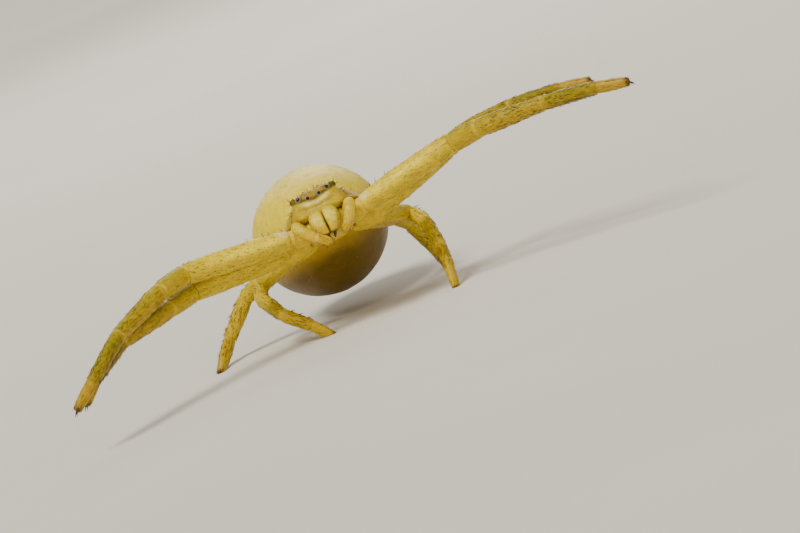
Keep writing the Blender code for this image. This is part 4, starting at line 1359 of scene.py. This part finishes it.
def buildSpinnerets():
    look = spinneretLook
    base = np.array(look["hub"])
    shells = [ball(base, look["hubRadius"], look["hubStretch"], 32, 24)]
    t = np.linspace(0, 1, 14)[:, None]
    width = np.interp(t[:, 0], *look["widths"])
    for x, z, length in look["cones"]:
        for side in (1, -1):
            start = base + (side * x, look["coneStart"], z)
            axis = start + np.array((side * look["coneSpread"], 1.0, -0.1 * z)) * length * t
            shells.append(closedTube(ringsAlong(axis, width, width, 20)[0]))
    points, faces, normals = mergedShell(shells, look["voxel"], 2)
    behind = points[:, 1] - base[1]
    tint = tinted(len(points), look["base"], [(look["cone"], smoothStep(0.15, 0.45, behind))])
    skinPiece("spinneret_skin", fromAbdomen(points), faces, tint, jawCuticle, ["spinnerets"])
    lie = unit(np.array((0, 1, 0)) + normals * 0.1)
    scatteredCoat("bristles_spinnerets", fromAbdomen(points), faces, smoothStep(-0.1, 0.1, behind),
                  lie @ abdomenTurn.T, roundUnwrap(points, base), spinneretBristle, darkBristle)


buildAbdomen()
buildSpinnerets()
print("abdomen and spinnerets made")

# Bristles of the head: where each stands in the body's frame (left side), where it aims, its length
headBristles = (
    ((0.82, -1.14, 0.68), (0.45, -0.2, 1.0), 1.0),
    ((0.86, -1.12, 0.56), (1.0, -0.3, 0.15), 0.75),
    ((0.64, -1.26, 0.70), (0.1, -0.4, 1.0), 0.7),
    ((0.34, -1.36, 0.69), (0.0, -0.5, 1.0), 0.55),
    ((0.10, -1.40, 0.69), (0.0, -0.5, 1.0), 0.45),
    ((0.42, -1.10, 0.74), (0.0, -0.2, 1.0), 0.7),
    ((0.12, -0.90, 0.74), (0.0, -0.2, 1.0), 0.8),
    ((0.92, -1.16, 0.34), (1.0, -0.5, 0.3), 1.0),
    ((0.97, -1.20, 0.24), (1.0, -0.6, 0.2), 0.7),
    ((1.02, -1.20, 0.06), (1.0, -0.6, 0.1), 0.55),
    ((0.38, -1.50, 0.20), (0.3, -1.0, -0.5), 0.35),
    ((0.12, -1.52, 0.16), (0.1, -1.0, -0.5), 0.35),
    ((0.50, -0.55, 0.74), (0.1, -0.1, 1.0), 0.9),
    ((0.22, -0.30, 0.74), (0.0, -0.1, 1.0), 0.9),
    ((0.62, -0.05, 0.72), (0.1, 0.0, 1.0), 0.9),
    ((1.15, -0.75, 0.45), (0.6, -0.4, 0.8), 0.7),
    ((1.30, -0.30, 0.35), (0.6, -0.2, 0.8), 0.8),
    ((1.36, 0.20, 0.30), (0.6, 0.0, 0.8), 0.8),
    ((1.20, 0.70, 0.25), (0.5, 0.3, 0.8), 0.8),
    ((0.60, 0.70, 0.60), (0.1, 0.3, 1.0), 0.8),
)
headBristle = {"Length": 0.17, "Thickness": 0.032, "Bend": 0.12, "Variation": 0.15, "Sides": 5, "Segments": 4,
               "Seed": 8}
headHair = {"Length": 0.09, "Thickness": 0.014, "Seed": 9, "Density": 18.0, "Lift": 0.55}
jawHair = {"Length": 0.07, "Thickness": 0.012, "Variation": 0.35, "Seed": 12, "Density": 75.0, "Lift": 0.6}


def plantHeadBristles():
    surface = BVHTree.FromPolygons(headPoints.tolist(), headFaces)
    curl = np.array((0, -0.3, -1.0))
    roots = []
    for place, aim, size in headBristles:
        for side in (1, -1):
            spot, normal = (np.array(v) for v in surface.find_nearest(Vector(onSide(place, side)))[:2])
            lean = onSide(aim, side) + 0.08 * rng.normal(size=3)
            roots.append((fromBody(spot - normal * 0.01), lean @ bodyTurn.T, curl, size,
                          roundUnwrap(spot[None])[0]))
    plantedCoat("bristles_head", roots, headBristle, darkBristle)


def scatterHeadHairs():
    # They lie down the face and backwards behind it, and leave the band between the eyes nearly bare
    y, z = headPoints[:, 1], headPoints[:, 2]
    lie = np.where((y > -1.0)[:, None], (0, 0.9, -0.1), (0, -0.8, -0.6))
    density = np.where(z > -0.4, 0.5, 1.0)
    density *= 1 - 0.9 * smoothStep(-0.95, -1.15, y) * smoothStep(0.2, 0.35, z)
    lie = across(lie, headNormals) @ bodyTurn.T
    scatteredCoat("hairs_head", fromBody(headPoints), headFaces, density, lie, roundUnwrap(headPoints),
                  headHair, paleBristle)


def scatterJawHairs(sideName, points, faces):
    density = smoothStep(-1.30, -1.50, points[:, 1]) * smoothStep(-0.05, -0.2, points[:, 2])
    out = unit(points - (points[:, 0].mean(), -1.45, -0.4))
    down = np.array((0, -0.2, -1.0))
    lie = unit(down - out * (out @ down)[:, None])
    scatteredCoat("hairs_jaw_" + sideName, fromBody(points), faces, density, lie @ bodyTurn.T,
                  roundUnwrap(points, points.mean(0)), jawHair, brownBristle)


plantHeadBristles()
scatterHeadHairs()
for jawSide, jaw in jaws.items():
    scatterJawHairs(jawSide, *jaw)
print("head bristles made")


def paperFinish(name):
    # Pale matt paper: barely mottled, with no shine at all
    material, tree = newMaterial(name)
    cloud = cloudNoise(tree, addNode(tree, "ShaderNodeTexCoord")["Object"], 40.0, 3.0)
    return surfaced(material, {"Base Color": colourRamp(tree, cloud, (0.3, "#dcd8cf"), (0.7, "#e2ded6")),
                               "Roughness": 0.9, "Specular IOR Level": 0.0})


# The floor is wide enough to fill every view
floorMesh = plainMesh("floor", [(-3, -3, 0), (3, -3, 0), (3, 3, 0), (-3, 3, 0)], [(0, 1, 2, 3)])
floorMesh.materials.append(paperFinish("pale_matt_paper"))
floor = makeObject("floor", floorMesh)

# Soft studio light: strength, width (degrees for the sun, mm for a panel), place in mm, colour
studioLights = {
    "key": ("SUN", 3.0, 24, (-90, -120, 210), "#fffaf0"),
    "fill": ("SUN", 0.8, 60, (100, -190, 50), "#fff0d4"),
    "rim": ("AREA", 0.10, 90, (40, 150, 90), "#fffaf0"),
}
skyLook = {"colour": "#f3f0ea", "strength": 0.44}
# Camera low in front of the face, turned a little on its own axis
cameraLook = {"place": (1.738, -169.12, 22.15), "down": 7.0, "roll": 22.0, "lens": 237.15}


def buildLights():
    for name, (kind, strength, size, place, code) in studioLights.items():
        lamp = bpy.data.lights.new(name, kind)
        lamp.energy = strength
        lamp.color = linearColour(code)
        if kind == "SUN":
            lamp.angle = radians(size)
        else:
            lamp.size = size * mm
        holder = makeObject(name, lamp)
        holder.location = Vector(place) * mm
        toSpider = Vector((0, 0, 3)) * mm - holder.location
        holder.rotation_euler = toSpider.to_track_quat("-Z", "Y").to_euler()
    sky = bpy.data.worlds.new("softRoom")
    sky.use_nodes = True
    setInputs(sky.node_tree, sky.node_tree.nodes["Background"],
              {"Color": (*linearColour(skyLook["colour"]), 1.0), "Strength": skyLook["strength"]})
    bpy.context.scene.world = sky


def buildCamera():
    down, roll = radians(cameraLook["down"]), radians(cameraLook["roll"])
    view = Vector((0, cos(down), -sin(down)))
    levelRight = Vector((1, 0, 0))
    levelUp = levelRight.cross(view)
    right = cos(roll) * levelRight - sin(roll) * levelUp
    up = sin(roll) * levelRight + cos(roll) * levelUp
    lens = bpy.data.cameras.new("camera")
    lens.lens = cameraLook["lens"]
    lens.sensor_width = 36
    lens.clip_start = 0.001
    lens.clip_end = 20
    holder = makeObject("camera", lens)
    matrix = Matrix((right, up, -view)).transposed().to_4x4()
    matrix.translation = (Vector(cameraLook["place"]) + Vector(shift)) * mm
    holder.matrix_world = matrix
    bpy.context.scene.camera = holder


buildLights()
buildCamera()
